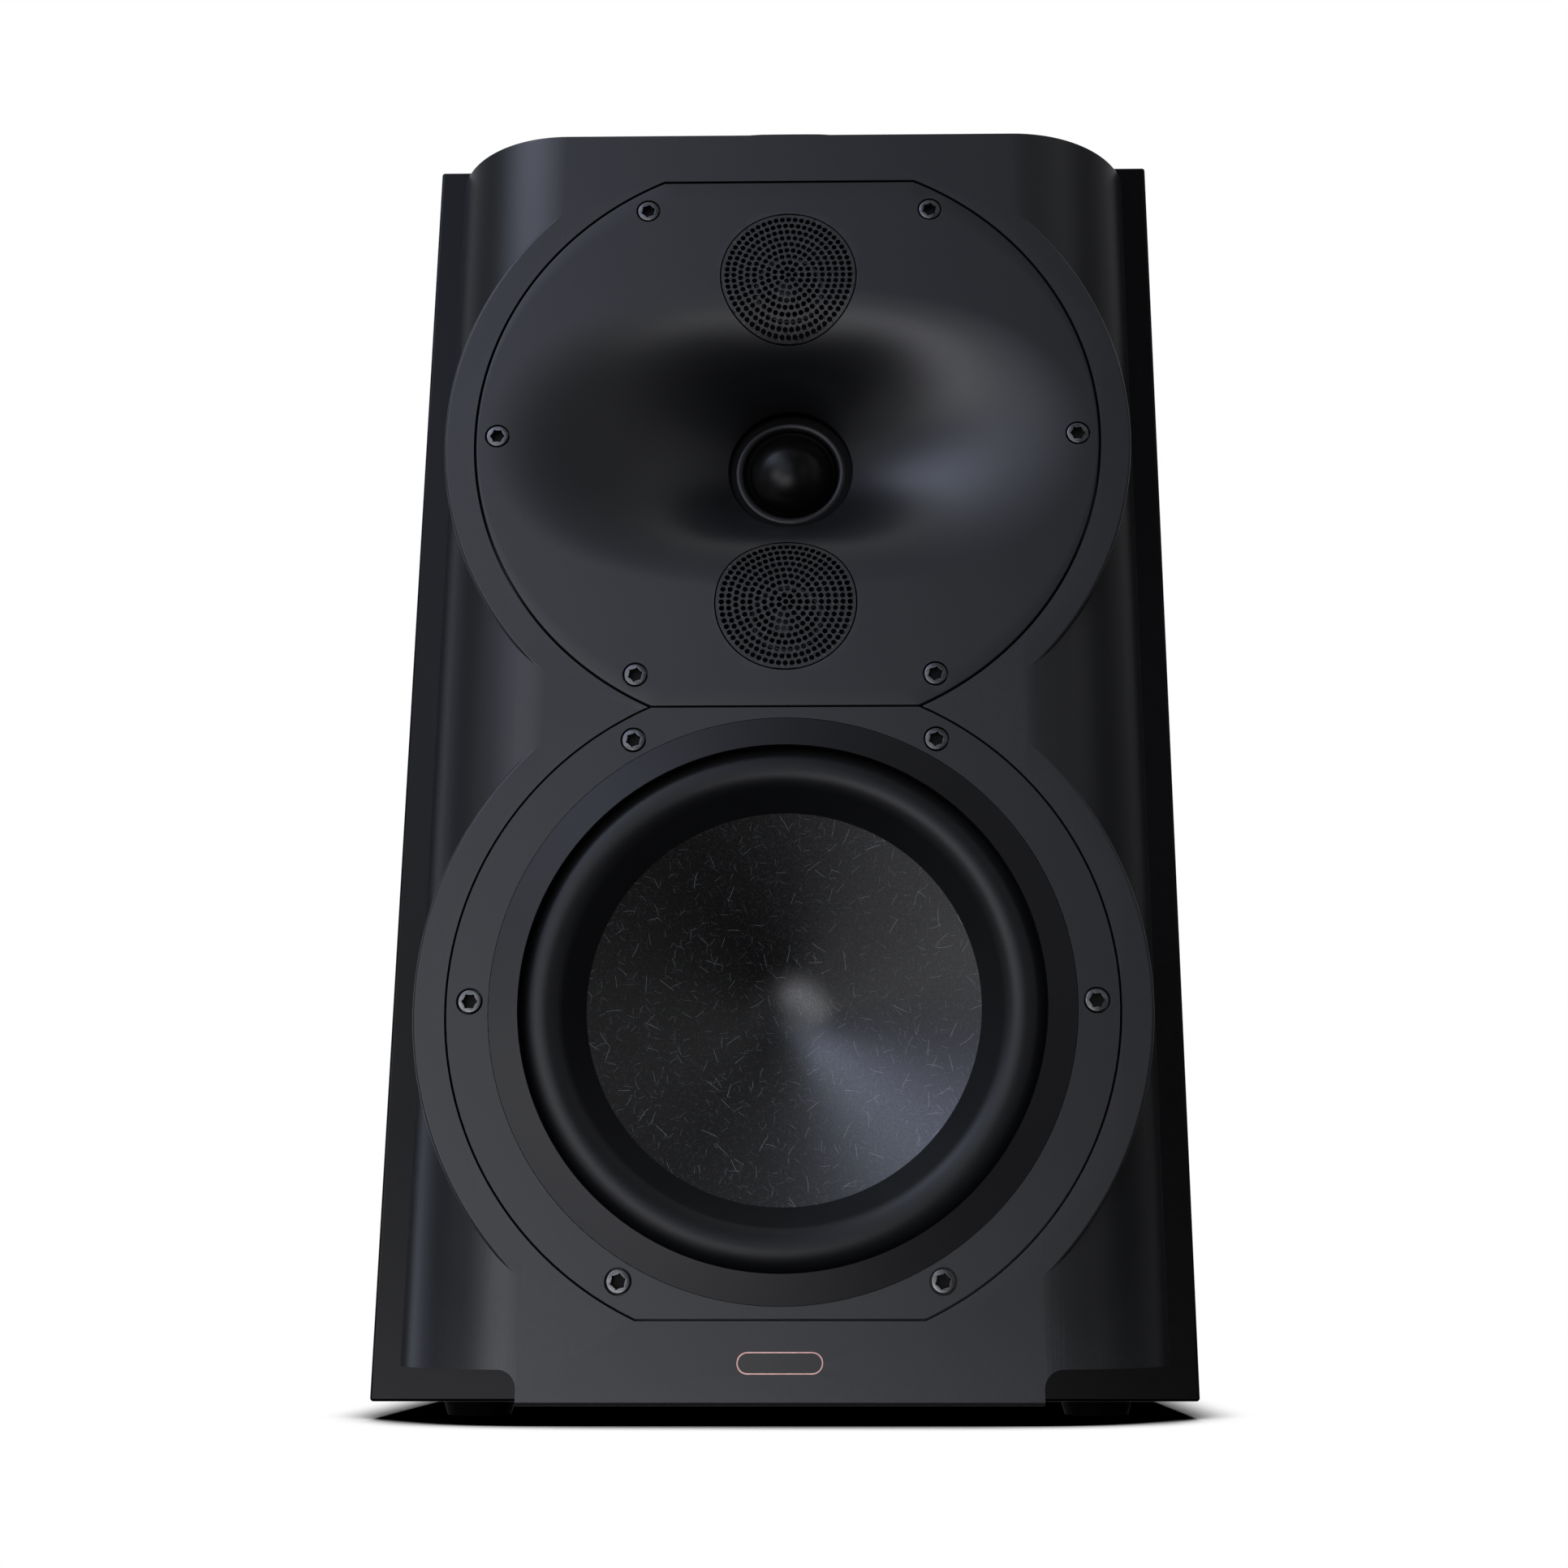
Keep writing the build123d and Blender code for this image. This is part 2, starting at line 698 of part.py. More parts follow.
upper_grille = build_grille(1)
upper_grille.part.label = "upper_grille"
export_step(upper_grille.part, "parts/upper_grille.step")

lower_grille = build_grille(-1)
lower_grille.part.label = "lower_grille"
export_step(lower_grille.part, "parts/lower_grille.step")


# ---- Dome tweeters --------------------------------------------------------------------
# Each one is described behind its own face plane. The coil's tube stands in a steel cup's
# gap, around a magnet and its pole disc.
def build_dome(face, dome_radius):
    """Dome, its coil tube and the winding on it, which move together."""
    rim_depth = dome_apex_depth + dome_rise
    tube_start = dome_roll_depth + dome_roll_thickness
    coil_start = housing_thickness + (cup_gap_height - dome_coil_height) / 2
    coil_end = coil_start + dome_coil_height
    middle_radius = dome_radius / 2
    cap_radius = (dome_radius**2 + dome_rise**2) / (2 * dome_rise)
    middle_depth = dome_apex_depth + cap_radius - sqrt(cap_radius**2 - middle_radius**2)
    with BuildPart() as dome:
        with BuildSketch(section(face)):
            with BuildLine():
                front = ThreePointArc(
                    (0, dome_apex_depth),
                    (middle_radius, middle_depth),
                    (dome_radius, rim_depth),
                )
                Polyline(
                    front @ 1,
                    (dome_radius, tube_start),
                    (dome_radius + dome_wall, tube_start),
                    (dome_radius + dome_wall, coil_start),
                    (dome_radius + dome_wall + dome_coil_thickness, coil_start),
                    (dome_radius + dome_wall + dome_coil_thickness, coil_end),
                    (dome_radius, coil_end),
                    (dome_radius, rim_depth + dome_thickness),
                )
                back = ThreePointArc(
                    (dome_radius, rim_depth + dome_thickness),
                    (middle_radius, middle_depth + dome_thickness),
                    (0, dome_apex_depth + dome_thickness),
                )
                Line(back @ 1, front @ 0)
            make_face()
        revolve(axis=axis_of(face))
    return dome


def build_dome_roll(face, dome_radius):
    """Half-roll that carries the dome: a lip on its tube and a lip on the housing."""
    tube_edge = dome_radius + dome_wall
    crest = tube_edge + dome_roll_radius
    inner_roll = dome_roll_radius - dome_roll_thickness
    lip_back = dome_roll_depth + dome_roll_thickness
    with BuildPart() as roll:
        with BuildSketch(section(face)):
            with BuildLine():
                Polyline(
                    (dome_radius, lip_back),
                    (dome_radius, dome_roll_depth),
                    (tube_edge, dome_roll_depth),
                )
                ThreePointArc(
                    (tube_edge, dome_roll_depth),
                    (crest, dome_roll_depth - dome_roll_radius),
                    (crest + dome_roll_radius, dome_roll_depth),
                )
                Polyline(
                    (crest + dome_roll_radius, dome_roll_depth),
                    (crest + dome_roll_radius + dome_lip_width, dome_roll_depth),
                    (crest + dome_roll_radius + dome_lip_width, lip_back),
                    (crest + inner_roll, lip_back),
                    (crest + inner_roll, dome_roll_depth),
                )
                ThreePointArc(
                    (crest + inner_roll, dome_roll_depth),
                    (crest, dome_roll_depth - inner_roll),
                    (crest - inner_roll, dome_roll_depth),
                )
                Polyline(
                    (crest - inner_roll, dome_roll_depth),
                    (crest - inner_roll, lip_back),
                    (dome_radius, lip_back),
                )
            make_face()
        revolve(axis=axis_of(face))
    return roll


def roll_outer_radius(dome_radius):
    return dome_radius + dome_wall + 2 * dome_roll_radius


def build_tweeter_housing(face, dome_radius, housing_radius):
    """Face ring with a ledge for the roll's outer lip."""
    ledge_depth = dome_roll_depth + dome_roll_thickness
    slot_radius = dome_radius + dome_wall + housing_slot_gap
    lip_edge = roll_outer_radius(dome_radius) + dome_lip_width + dome_lip_gap
    with BuildPart() as housing:
        with BuildSketch(face):
            Circle(housing_radius)
            Circle(slot_radius, mode=Mode.SUBTRACT)
        extrude(amount=-housing_thickness)
        with BuildSketch(face):
            Circle(lip_edge)
        extrude(amount=-ledge_depth, mode=Mode.SUBTRACT)
    return housing


def build_motor_cup(face, dome_radius):
    """Steel cup: its mouth is the outer side of the coil's gap."""
    mouth_radius = dome_radius + dome_wall + dome_coil_thickness + dome_coil_gap
    cup_back = housing_thickness + cup_depth
    cup_floor = cup_back - cup_wall
    with BuildPart() as cup:
        with BuildSketch(section(face)):
            Polygon(
                (0, cup_back),
                (0, cup_floor),
                (mouth_radius + cup_wall / 2, cup_floor),
                (mouth_radius + cup_wall / 2, housing_thickness + cup_gap_height),
                (mouth_radius, housing_thickness + cup_gap_height),
                (mouth_radius, housing_thickness),
                (mouth_radius + cup_wall, housing_thickness),
                (mouth_radius + cup_wall, cup_back),
                align=None,
            )
        revolve(axis=axis_of(face))
    return cup


def build_tweeter_magnet(face, dome_radius):
    """Magnet on the cup's floor, with the pole disc on it."""
    pole_face = dome_apex_depth + dome_rise + pole_start
    pole_back = pole_face + pole_thickness
    pole_radius = dome_radius - dome_coil_gap
    floor_depth = housing_thickness + cup_depth - cup_wall
    with BuildPart() as magnet:
        with BuildSketch(set_back(face, pole_face)):
            Circle(pole_radius)
        extrude(amount=-pole_thickness)
        with BuildSketch(set_back(face, pole_back)):
            Circle(pole_radius - dome_coil_gap)
        extrude(amount=pole_back - floor_depth)
    return magnet


main_face = driver_plane(tweeter_z, collar_depth)
upper_face = set_back(grille_plane(1), small_boss_depth)
lower_face = set_back(grille_plane(-1), small_boss_depth)

main_dome = build_dome(main_face, main_dome_radius)
main_dome.part.label = "main_dome"
export_step(main_dome.part, "parts/main_dome.step")

upper_dome = build_dome(upper_face, small_dome_radius)
upper_dome.part.label = "upper_dome"
export_step(upper_dome.part, "parts/upper_dome.step")

lower_dome = build_dome(lower_face, small_dome_radius)
lower_dome.part.label = "lower_dome"
export_step(lower_dome.part, "parts/lower_dome.step")

main_dome_roll = build_dome_roll(main_face, main_dome_radius)
main_dome_roll.part.label = "main_dome_roll"
export_step(main_dome_roll.part, "parts/main_dome_roll.step")

upper_dome_roll = build_dome_roll(upper_face, small_dome_radius)
upper_dome_roll.part.label = "upper_dome_roll"
export_step(upper_dome_roll.part, "parts/upper_dome_roll.step")

lower_dome_roll = build_dome_roll(lower_face, small_dome_radius)
lower_dome_roll.part.label = "lower_dome_roll"
export_step(lower_dome_roll.part, "parts/lower_dome_roll.step")

small_faces = (upper_face, lower_face)

main_tweeter_housing = build_tweeter_housing(
    main_face, main_dome_radius, main_housing_radius
)
main_tweeter_housing.part.label = "main_tweeter_housing"
export_step(main_tweeter_housing.part, "parts/main_tweeter_housing.step")

main_motor_cup = build_motor_cup(main_face, main_dome_radius)
main_motor_cup.part.label = "main_motor_cup"
export_step(main_motor_cup.part, "parts/main_motor_cup.step")

main_tweeter_magnet = build_tweeter_magnet(main_face, main_dome_radius)
main_tweeter_magnet.part.label = "main_tweeter_magnet"
export_step(main_tweeter_magnet.part, "parts/main_tweeter_magnet.step")

small_tweeter_housings = join_solids(
    [
        build_tweeter_housing(face, small_dome_radius, small_housing_radius)
        for face in small_faces
    ]
)
small_tweeter_housings.part.label = "small_tweeter_housings"
export_step(small_tweeter_housings.part, "parts/small_tweeter_housings.step")

small_motor_cups = join_solids(
    [build_motor_cup(face, small_dome_radius) for face in small_faces]
)
small_motor_cups.part.label = "small_motor_cups"
export_step(small_motor_cups.part, "parts/small_motor_cups.step")

small_tweeter_magnets = join_solids(
    [build_tweeter_magnet(face, small_dome_radius) for face in small_faces]
)
small_tweeter_magnets.part.label = "small_tweeter_magnets"
export_step(small_tweeter_magnets.part, "parts/small_tweeter_magnets.step")

# ---- Woofer ---------------------------------------------------------------------------
woofer_face = driver_plane(woofer_z)
surround_lip_back = surround_lip_depth + surround_thickness
roll_centre_depth = surround_crest_depth + surround_roll_radius
roll_inner_foot = surround_crest_radius - surround_roll_radius
cone_rim_radius = roll_inner_foot - cone_rim_gap
cone_rim_back = roll_centre_depth + cone_rim_thickness
spider_ledge_depth = spider_depth + spider_thickness
former_outer_radius = former_inner_radius + former_thickness
coil_inner_radius = former_outer_radius + glue_gap
coil_outer_radius = coil_inner_radius + coil_thickness
magnet_front_depth = frame_back_depth + top_plate_thickness
yoke_front_depth = magnet_front_depth + magnet_thickness
coil_middle_depth = frame_back_depth + top_plate_thickness / 2
coil_start_depth = coil_middle_depth - coil_height / 2
coil_end_depth = coil_middle_depth + coil_height / 2
spider_wall_radius = spider_outer_radius + trim_seat_gap
frame_floor_depth = frame_back_depth - frame_back_thickness

with BuildPart() as woofer_frame:
    with BuildSketch(woofer_face):
        plate_outline()
        Circle(frame_inner_radius, mode=Mode.SUBTRACT)
    extrude(amount=-plate_thickness)
    with BuildSketch(section(woofer_face)):
        Polygon(
            (frame_inner_radius, surround_lip_back),
            (frame_shoulder_radius, surround_lip_back),
            (frame_shoulder_radius, frame_shoulder_depth),
            (frame_back_radius, frame_back_depth - frame_ring_height),
            (frame_back_radius, frame_back_depth),
            (magnet_bore_radius, frame_back_depth),
            (magnet_bore_radius, frame_floor_depth),
            (spider_outer_radius - spider_seat_width, frame_floor_depth),
            (spider_outer_radius - spider_seat_width, spider_ledge_depth),
            (spider_wall_radius, spider_ledge_depth),
            (spider_wall_radius, spider_ledge_depth - spider_rim_height),
            (frame_inner_radius, frame_shoulder_depth - frame_bend_height),
            align=None,
        )
    revolve(axis=axis_of(woofer_face))
    with BuildSketch(woofer_face):
        Circle(trim_outer_radius + trim_seat_gap)
    extrude(amount=-surround_lip_back, mode=Mode.SUBTRACT)
    with BuildSketch(set_back(woofer_face, frame_window_start)):
        with PolarLocations(
            frame_inner_radius - frame_window_inset, frame_window_count, start_angle=30
        ):
            Rectangle(frame_window_length, frame_window_width)
    extrude(amount=frame_window_start - frame_window_end, mode=Mode.SUBTRACT)
    with Locations(woofer_face):
        cut_screw_seats()
woofer_frame.part.label = "woofer_frame"
export_step(woofer_frame.part, "parts/woofer_frame.step")

with BuildPart() as woofer_trim_ring:
    with BuildSketch(section(woofer_face)):
        Polygon(
            (trim_inner_radius, -trim_lip),
            (trim_outer_radius, 0),
            (trim_outer_radius, surround_lip_depth),
            (trim_inner_radius, surround_lip_depth),
            align=None,
        )
    revolve(axis=axis_of(woofer_face))
woofer_trim_ring.part.label = "woofer_trim_ring"
export_step(woofer_trim_ring.part, "parts/woofer_trim_ring.step")


def roll_reach(radius, depth):
    """Radius at which the surround's outer side crosses a depth."""
    return surround_crest_radius + sqrt(radius**2 - (roll_centre_depth - depth) ** 2)


inner_roll_radius = surround_roll_radius - surround_thickness
lip_outer_radius = trim_outer_radius - surround_thickness / 2

with BuildPart() as woofer_surround:
    with BuildSketch(section(woofer_face)):
        with BuildLine():
            Line((roll_inner_foot, cone_rim_back), (roll_inner_foot, roll_centre_depth))
            ThreePointArc(
                (roll_inner_foot, roll_centre_depth),
                (surround_crest_radius, surround_crest_depth),
                (roll_reach(surround_roll_radius, surround_lip_depth), surround_lip_depth),
            )
            Polyline(
                (roll_reach(surround_roll_radius, surround_lip_depth), surround_lip_depth),
                (lip_outer_radius, surround_lip_depth),
                (lip_outer_radius, surround_lip_back),
                (roll_reach(inner_roll_radius, surround_lip_back), surround_lip_back),
            )
            ThreePointArc(
                (roll_reach(inner_roll_radius, surround_lip_back), surround_lip_back),
                (surround_crest_radius, surround_crest_depth + surround_thickness),
                (roll_inner_foot + surround_thickness, roll_centre_depth),
            )
            Polyline(
                (roll_inner_foot + surround_thickness, roll_centre_depth),
                (roll_inner_foot + surround_thickness, cone_rim_back + surround_thickness),
                (roll_inner_foot - surround_glue_width, cone_rim_back + surround_thickness),
                (roll_inner_foot - surround_glue_width, cone_rim_back),
                (roll_inner_foot, cone_rim_back),
            )
        make_face()
    revolve(axis=axis_of(woofer_face))
woofer_surround.part.label = "woofer_surround"
export_step(woofer_surround.part, "parts/woofer_surround.step")


def cone_front(radius):
    """Depth of the cone's straight flank at a radius."""
    return roll_centre_depth + (cone_rim_radius - radius) * cone_slope


dish_sphere = cone_dish_radius / (cone_slope / hypot(1, cone_slope))
dish_drop = dish_sphere - sqrt(dish_sphere**2 - cone_dish_radius**2)
half_dish = cone_dish_radius / 2
dish_centre_depth = cone_front(cone_dish_radius) + dish_drop
half_dish_depth = dish_centre_depth - dish_sphere + sqrt(dish_sphere**2 - half_dish**2)
rim_land_radius = cone_rim_radius - surround_glue_width + cone_rim_gap
neck_depth = cone_front(former_inner_radius) + 2 * cone_thickness
neck_half_width = 1.2
neck_radius = former_inner_radius + former_thickness / 2

with BuildPart() as woofer_cone:
    with BuildSketch(section(woofer_face)):
        with BuildLine():
            front = ThreePointArc(
                (0, dish_centre_depth),
                (half_dish, half_dish_depth),
                (cone_dish_radius, cone_front(cone_dish_radius)),
            )
            Polyline(
                front @ 1,
                (cone_rim_radius, roll_centre_depth),
                (cone_rim_radius, cone_rim_back),
                (rim_land_radius, cone_rim_back),
                (
                    neck_radius + neck_half_width,
                    cone_front(neck_radius + neck_half_width) + cone_thickness,
                ),
                (neck_radius + neck_half_width, neck_depth),
                (neck_radius - neck_half_width, neck_depth),
                (
                    neck_radius - neck_half_width,
                    cone_front(neck_radius - neck_half_width) + cone_thickness,
                ),
                (cone_dish_radius, cone_front(cone_dish_radius) + cone_thickness),
            )
            back = ThreePointArc(
                (cone_dish_radius, cone_front(cone_dish_radius) + cone_thickness),
                (half_dish, half_dish_depth + cone_thickness),
                (0, dish_centre_depth + cone_thickness),
            )
            Line(back @ 1, front @ 0)
        make_face()
    revolve(axis=axis_of(woofer_face))
woofer_cone.part.label = "woofer_cone"
export_step(woofer_cone.part, "parts/woofer_cone.step")

with BuildPart() as coil_former:
    with BuildSketch(set_back(woofer_face, neck_depth)):
        Circle(former_outer_radius)
        Circle(former_inner_radius, mode=Mode.SUBTRACT)
    extrude(amount=neck_depth - coil_end_depth)
coil_former.part.label = "coil_former"
export_step(coil_former.part, "parts/coil_former.step")

with BuildPart() as voice_coil:
    with BuildSketch(set_back(woofer_face, coil_start_depth)):
        Circle(coil_outer_radius)
        Circle(coil_inner_radius, mode=Mode.SUBTRACT)
    extrude(amount=-coil_height)
voice_coil.part.label = "voice_coil"
export_step(voice_coil.part, "parts/voice_coil.step")

spider_inner_radius = former_outer_radius + glue_gap
spider_wave_end = spider_outer_radius - spider_seat_width
spider_steps = 8 * spider_wave_count
spider_front = [(spider_inner_radius, spider_depth)]
for step in range(1, spider_steps):
    turn = 2 * pi * spider_wave_count * step / spider_steps
    radius = spider_inner_radius + step / spider_steps * (
        spider_wave_end - spider_inner_radius
    )
    spider_front.append((radius, spider_depth - spider_wave_height * sin(turn)))
spider_front += [(spider_wave_end, spider_depth), (spider_outer_radius, spider_depth)]
spider_back = [
    (radius, depth + spider_thickness) for radius, depth in reversed(spider_front)
]

with BuildPart() as spider:
    with BuildSketch(section(woofer_face)):
        Polygon(*spider_front, *spider_back, align=None)
    revolve(axis=axis_of(woofer_face))
spider.part.label = "spider"
export_step(spider.part, "parts/spider.step")

with BuildPart() as top_plate:
    with BuildSketch(set_back(woofer_face, frame_back_depth)):
        Circle(top_plate_radius)
        Circle(coil_outer_radius + coil_gap, mode=Mode.SUBTRACT)
    extrude(amount=-top_plate_thickness)
top_plate.part.label = "top_plate"
export_step(top_plate.part, "parts/top_plate.step")

with BuildPart() as woofer_magnet:
    with BuildSketch(set_back(woofer_face, magnet_front_depth)):
        Circle(magnet_radius)
        Circle(magnet_bore_radius, mode=Mode.SUBTRACT)
    extrude(amount=-magnet_thickness)
woofer_magnet.part.label = "woofer_magnet"
export_step(woofer_magnet.part, "parts/woofer_magnet.step")

with BuildPart() as yoke:
    with BuildSketch(set_back(woofer_face, yoke_front_depth)):
        Circle(top_plate_radius)
    extrude(amount=-back_plate_thickness)
    with BuildSketch(set_back(woofer_face, yoke_front_depth)):
        Circle(former_inner_radius - coil_gap)
    extrude(amount=magnet_thickness + top_plate_thickness + pole_front_overlap)
yoke.part.label = "yoke"
export_step(yoke.part, "parts/yoke.step")

terminal_block_low = frame_back_radius - terminal_block_seat
tab_front_depth = frame_back_depth + terminal_tab_thickness
tab_xs = (-terminal_tab_spacing / 2, terminal_tab_spacing / 2)
tab_middle = frame_back_radius + terminal_tab_length / 2

with BuildPart() as woofer_terminals:
    with BuildSketch(set_back(woofer_face, frame_back_depth)):
        with Locations((0, terminal_block_low + terminal_block_seat / 2)):
            Rectangle(terminal_block_width, terminal_block_seat)
    extrude(amount=-terminal_block_thickness)
    with BuildSketch(set_back(woofer_face, tab_front_depth)):
        with Locations(*[(x, tab_middle) for x in tab_xs]):
            Rectangle(terminal_tab_width, terminal_tab_length)
    extrude(amount=-terminal_tab_thickness)
woofer_terminals.part.label = "woofer_terminals"
export_step(woofer_terminals.part, "parts/woofer_terminals.step")

# The tinsel leads rise from the coil's tube, pass out through a frame window and turn
# back to the tabs. Their points are radius above the woofer's axis, and depth.
tinsel_route = [
    (former_outer_radius + glue_gap, 30.0),
    (32.0, 27.0),
    (46.0, 23.0),
    (tab_middle, 22.0),
    (tab_middle + 8.0, 30.0),
    (tab_middle + 6.0, 42.0),
    (tab_middle, 49.0),
    (tab_middle, tab_front_depth),
]

tinsel_leads = join_solids(
    [
        build_lead(
            [(x, front_y + depth, woofer_z + rise) for rise, depth in tinsel_route],
            tinsel_radius,
        )
        for x in tab_xs
    ]
)
tinsel_leads.part.label = "tinsel_leads"
export_step(tinsel_leads.part, "parts/tinsel_leads.step")

# ---- Rear terminals -------------------------------------------------------------------
post_places = [(-x, terminal_z) for x in post_xs]
nut_face = terminal_face.offset(-terminal_plate_thickness)

with BuildPart() as terminal_plate:
    with BuildSketch(rear_face):
        with Locations((0, terminal_z)):
            RectangleRounded(
                terminal_plate_width, terminal_plate_height, terminal_plate_radius
            )
        with Locations(*post_places):
            Circle(post_stud_radius + post_hole_clearance, mode=Mode.SUBTRACT)
    extrude(amount=terminal_plate_thickness)
    with Locations(terminal_face):
        with Locations(*terminal_screw_places):
            CounterBoreHole(
                radius=terminal_screw_shank_radius + post_hole_clearance,
                counter_bore_radius=terminal_screw_head_radius + post_hole_clearance,
                counter_bore_depth=terminal_screw_head_height,
                depth=terminal_plate_thickness,
            )
    front_edges = terminal_plate.faces().sort_by(Axis.Y)[-1].outer_wire().edges()
    chamfer(front_edges, cap_end_chamfer)
terminal_plate.part.label = "terminal_plate"
export_step(terminal_plate.part, "parts/terminal_plate.step")

with BuildPart() as terminal_screws:
    with BuildSketch(terminal_face):
        with Locations(*terminal_screw_places):
            Circle(terminal_screw_head_radius)
    extrude(amount=-terminal_screw_head_height)
    with BuildSketch(terminal_face):
        with Locations(*terminal_screw_places):
            Circle(terminal_screw_shank_radius)
    extrude(amount=-terminal_screw_head_height - terminal_screw_length)
    with BuildSketch(terminal_face):
        with Locations(*terminal_screw_places):
            RegularPolygon(terminal_screw_slot_radius, 6)
    extrude(amount=-terminal_screw_head_height / 2, mode=Mode.SUBTRACT)
terminal_screws.part.label = "terminal_screws"
export_step(terminal_screws.part, "parts/terminal_screws.step")

with BuildPart() as binding_posts:
    with BuildSketch(terminal_face):
        with Locations(*post_places):
            Circle(post_collar_radius)
    extrude(amount=post_collar_thickness)
    with BuildSketch(terminal_face):
        with Locations(*post_places):
            Circle(post_barrel_radius)
    extrude(amount=post_reach)
    with BuildSketch(terminal_face):
        with Locations(*post_places):
            Circle(post_stud_radius)
    extrude(amount=-post_stud_length)
    with BuildSketch(terminal_face.offset(post_reach)):
        with Locations(*post_places):
            Circle(banana_bore_radius)
    extrude(amount=-banana_bore_depth, mode=Mode.SUBTRACT)
binding_posts.part.label = "binding_posts"
export_step(binding_posts.part, "parts/binding_posts.step")

with BuildPart() as post_nuts:
    with BuildSketch(nut_face):
        with Locations(*post_places):
            RegularPolygon(post_nut_radius, 6)
            Circle(post_stud_radius + glue_gap, mode=Mode.SUBTRACT)
    extrude(amount=-post_nut_thickness)
post_nuts.part.label = "post_nuts"
export_step(post_nuts.part, "parts/post_nuts.step")

washer_face = terminal_face.offset(post_collar_thickness + axial_gap)
cap_face = washer_face.offset(washer_thickness + axial_gap)


def build_washer(x):
    with BuildPart() as washer:
        with BuildSketch(washer_face):
            with Locations((-x, terminal_z)):
                Circle(washer_radius)
                Circle(post_barrel_radius + cap_clearance, mode=Mode.SUBTRACT)
        extrude(amount=washer_thickness)
    return washer


def build_cap(x):
    """Screw cap with finger grooves."""
    with BuildPart() as cap:
        with BuildSketch(cap_face):
            with Locations((-x, terminal_z)):
                Circle(cap_radius)
        extrude(amount=cap_length)
        chamfer(cap.edges(), cap_end_chamfer)
        with BuildSketch(cap_face):
            with Locations((-x, terminal_z)):
                Circle(post_barrel_radius + cap_clearance)
                with PolarLocations(cap_radius, cap_groove_count):
                    Circle(cap_groove_radius)
        extrude(amount=cap_length, mode=Mode.SUBTRACT)
    return cap


red_washer = build_washer(post_xs[1])
red_washer.part.label = "red_washer"
export_step(red_washer.part, "parts/red_washer.step")

black_washer = build_washer(post_xs[0])
black_washer.part.label = "black_washer"
export_step(black_washer.part, "parts/black_washer.step")

red_cap = build_cap(post_xs[1])
red_cap.part.label = "red_cap"
export_step(red_cap.part, "parts/red_cap.step")

black_cap = build_cap(post_xs[0])
black_cap.part.label = "black_cap"
export_step(black_cap.part, "parts/black_cap.step")

# ---- Crossover ------------------------------------------------------------------------
board_back_y = box_back_y - panel_thickness - board_back_gap
board_middle_y = board_back_y - board_length / 2
board_bottom_z = floor_z + standoff_height
board_top_z = board_bottom_z + board_thickness

with BuildPart() as board_standoffs:
    with BuildSketch(Plane.XY.offset(floor_z)):
        with Locations((0, board_middle_y)):
            with GridLocations(
                board_width - 2 * standoff_inset, board_length - 2 * standoff_inset, 2, 2
            ):
                Circle(standoff_radius)
    extrude(amount=standoff_height)
board_standoffs.part.label = "board_standoffs"
export_step(board_standoffs.part, "parts/board_standoffs.step")

with BuildPart() as crossover_board:
    with BuildSketch(Plane.XY.offset(board_bottom_z)):
        with Locations((0, board_middle_y)):
            Rectangle(board_width, board_length)
    extrude(amount=board_thickness)
crossover_board.part.label = "crossover_board"
export_step(crossover_board.part, "parts/crossover_board.step")

inductor_spacing = board_width / 2 - standoff_inset
inductor_row_y = (
    board_middle_y - board_length / 2 + inductor_edge_gap + inductor_outer_radius
)

with BuildPart() as crossover_inductors:
    with BuildSketch(Plane.XY.offset(board_top_z)):
        with Locations((0, inductor_row_y)):
            with GridLocations(inductor_spacing, inductor_spacing, 2, 1):
                Circle(inductor_outer_radius)
                Circle(inductor_inner_radius, mode=Mode.SUBTRACT)
    extrude(amount=inductor_height)
crossover_inductors.part.label = "crossover_inductors"
export_step(crossover_inductors.part, "parts/crossover_inductors.step")

capacitor_row_y = board_middle_y + capacitor_radius
capacitor_pitch = capacitor_length + standoff_inset

with BuildPart() as crossover_capacitors:
    for place in (-1, 0, 1):
        with BuildSketch(
            Plane.YZ.offset(place * capacitor_pitch - capacitor_length / 2)
        ):
            with Locations((capacitor_row_y, board_top_z + capacitor_radius)):
                Circle(capacitor_radius)
                with Locations((0, -capacitor_radius / 2)):
                    Rectangle(capacitor_radius, capacitor_radius)
        extrude(amount=capacitor_length)
crossover_capacitors.part.label = "crossover_capacitors"
export_step(crossover_capacitors.part, "parts/crossover_capacitors.step")

resistor_row_y = capacitor_row_y + capacitor_radius + resistor_width

with BuildPart() as crossover_resistors:
    with Locations((0, resistor_row_y, board_top_z + resistor_height / 2)):
        with GridLocations(resistor_length + standoff_inset, 1, 3, 1):
            Box(resistor_length, resistor_width, resistor_height)
crossover_resistors.part.label = "crossover_resistors"
export_step(crossover_resistors.part, "parts/crossover_resistors.step")

# ---- Inner leads ----------------------------------------------------------------------
# Each lead ends square on what it is soldered to. Their points are world places.
stud_end_y = box_back_y + terminal_plate_thickness - post_stud_length
input_landing_y = board_back_y - input_landing_inset

input_routes = [
    [
        (x, stud_end_y, terminal_z),
        (x, stud_end_y - 24.0, terminal_z),
        (x + 2.0, stud_end_y - 36.0, terminal_z - 32.0),
        (x + 4.0, input_landing_y, terminal_z - 66.0),
        (x + 4.0, input_landing_y, board_top_z),
    ]
    for x in post_xs
]
input_leads = join_solids([build_lead(route, lead_radius) for route in input_routes])
input_leads.part.label = "input_leads"
export_step(input_leads.part, "parts/input_leads.step")

driver_landing_y = board_middle_y - driver_landing_offset
tab_back_y = front_y + tab_front_depth + terminal_tab_thickness
tab_z = woofer_z + frame_back_radius + terminal_tab_length / 2

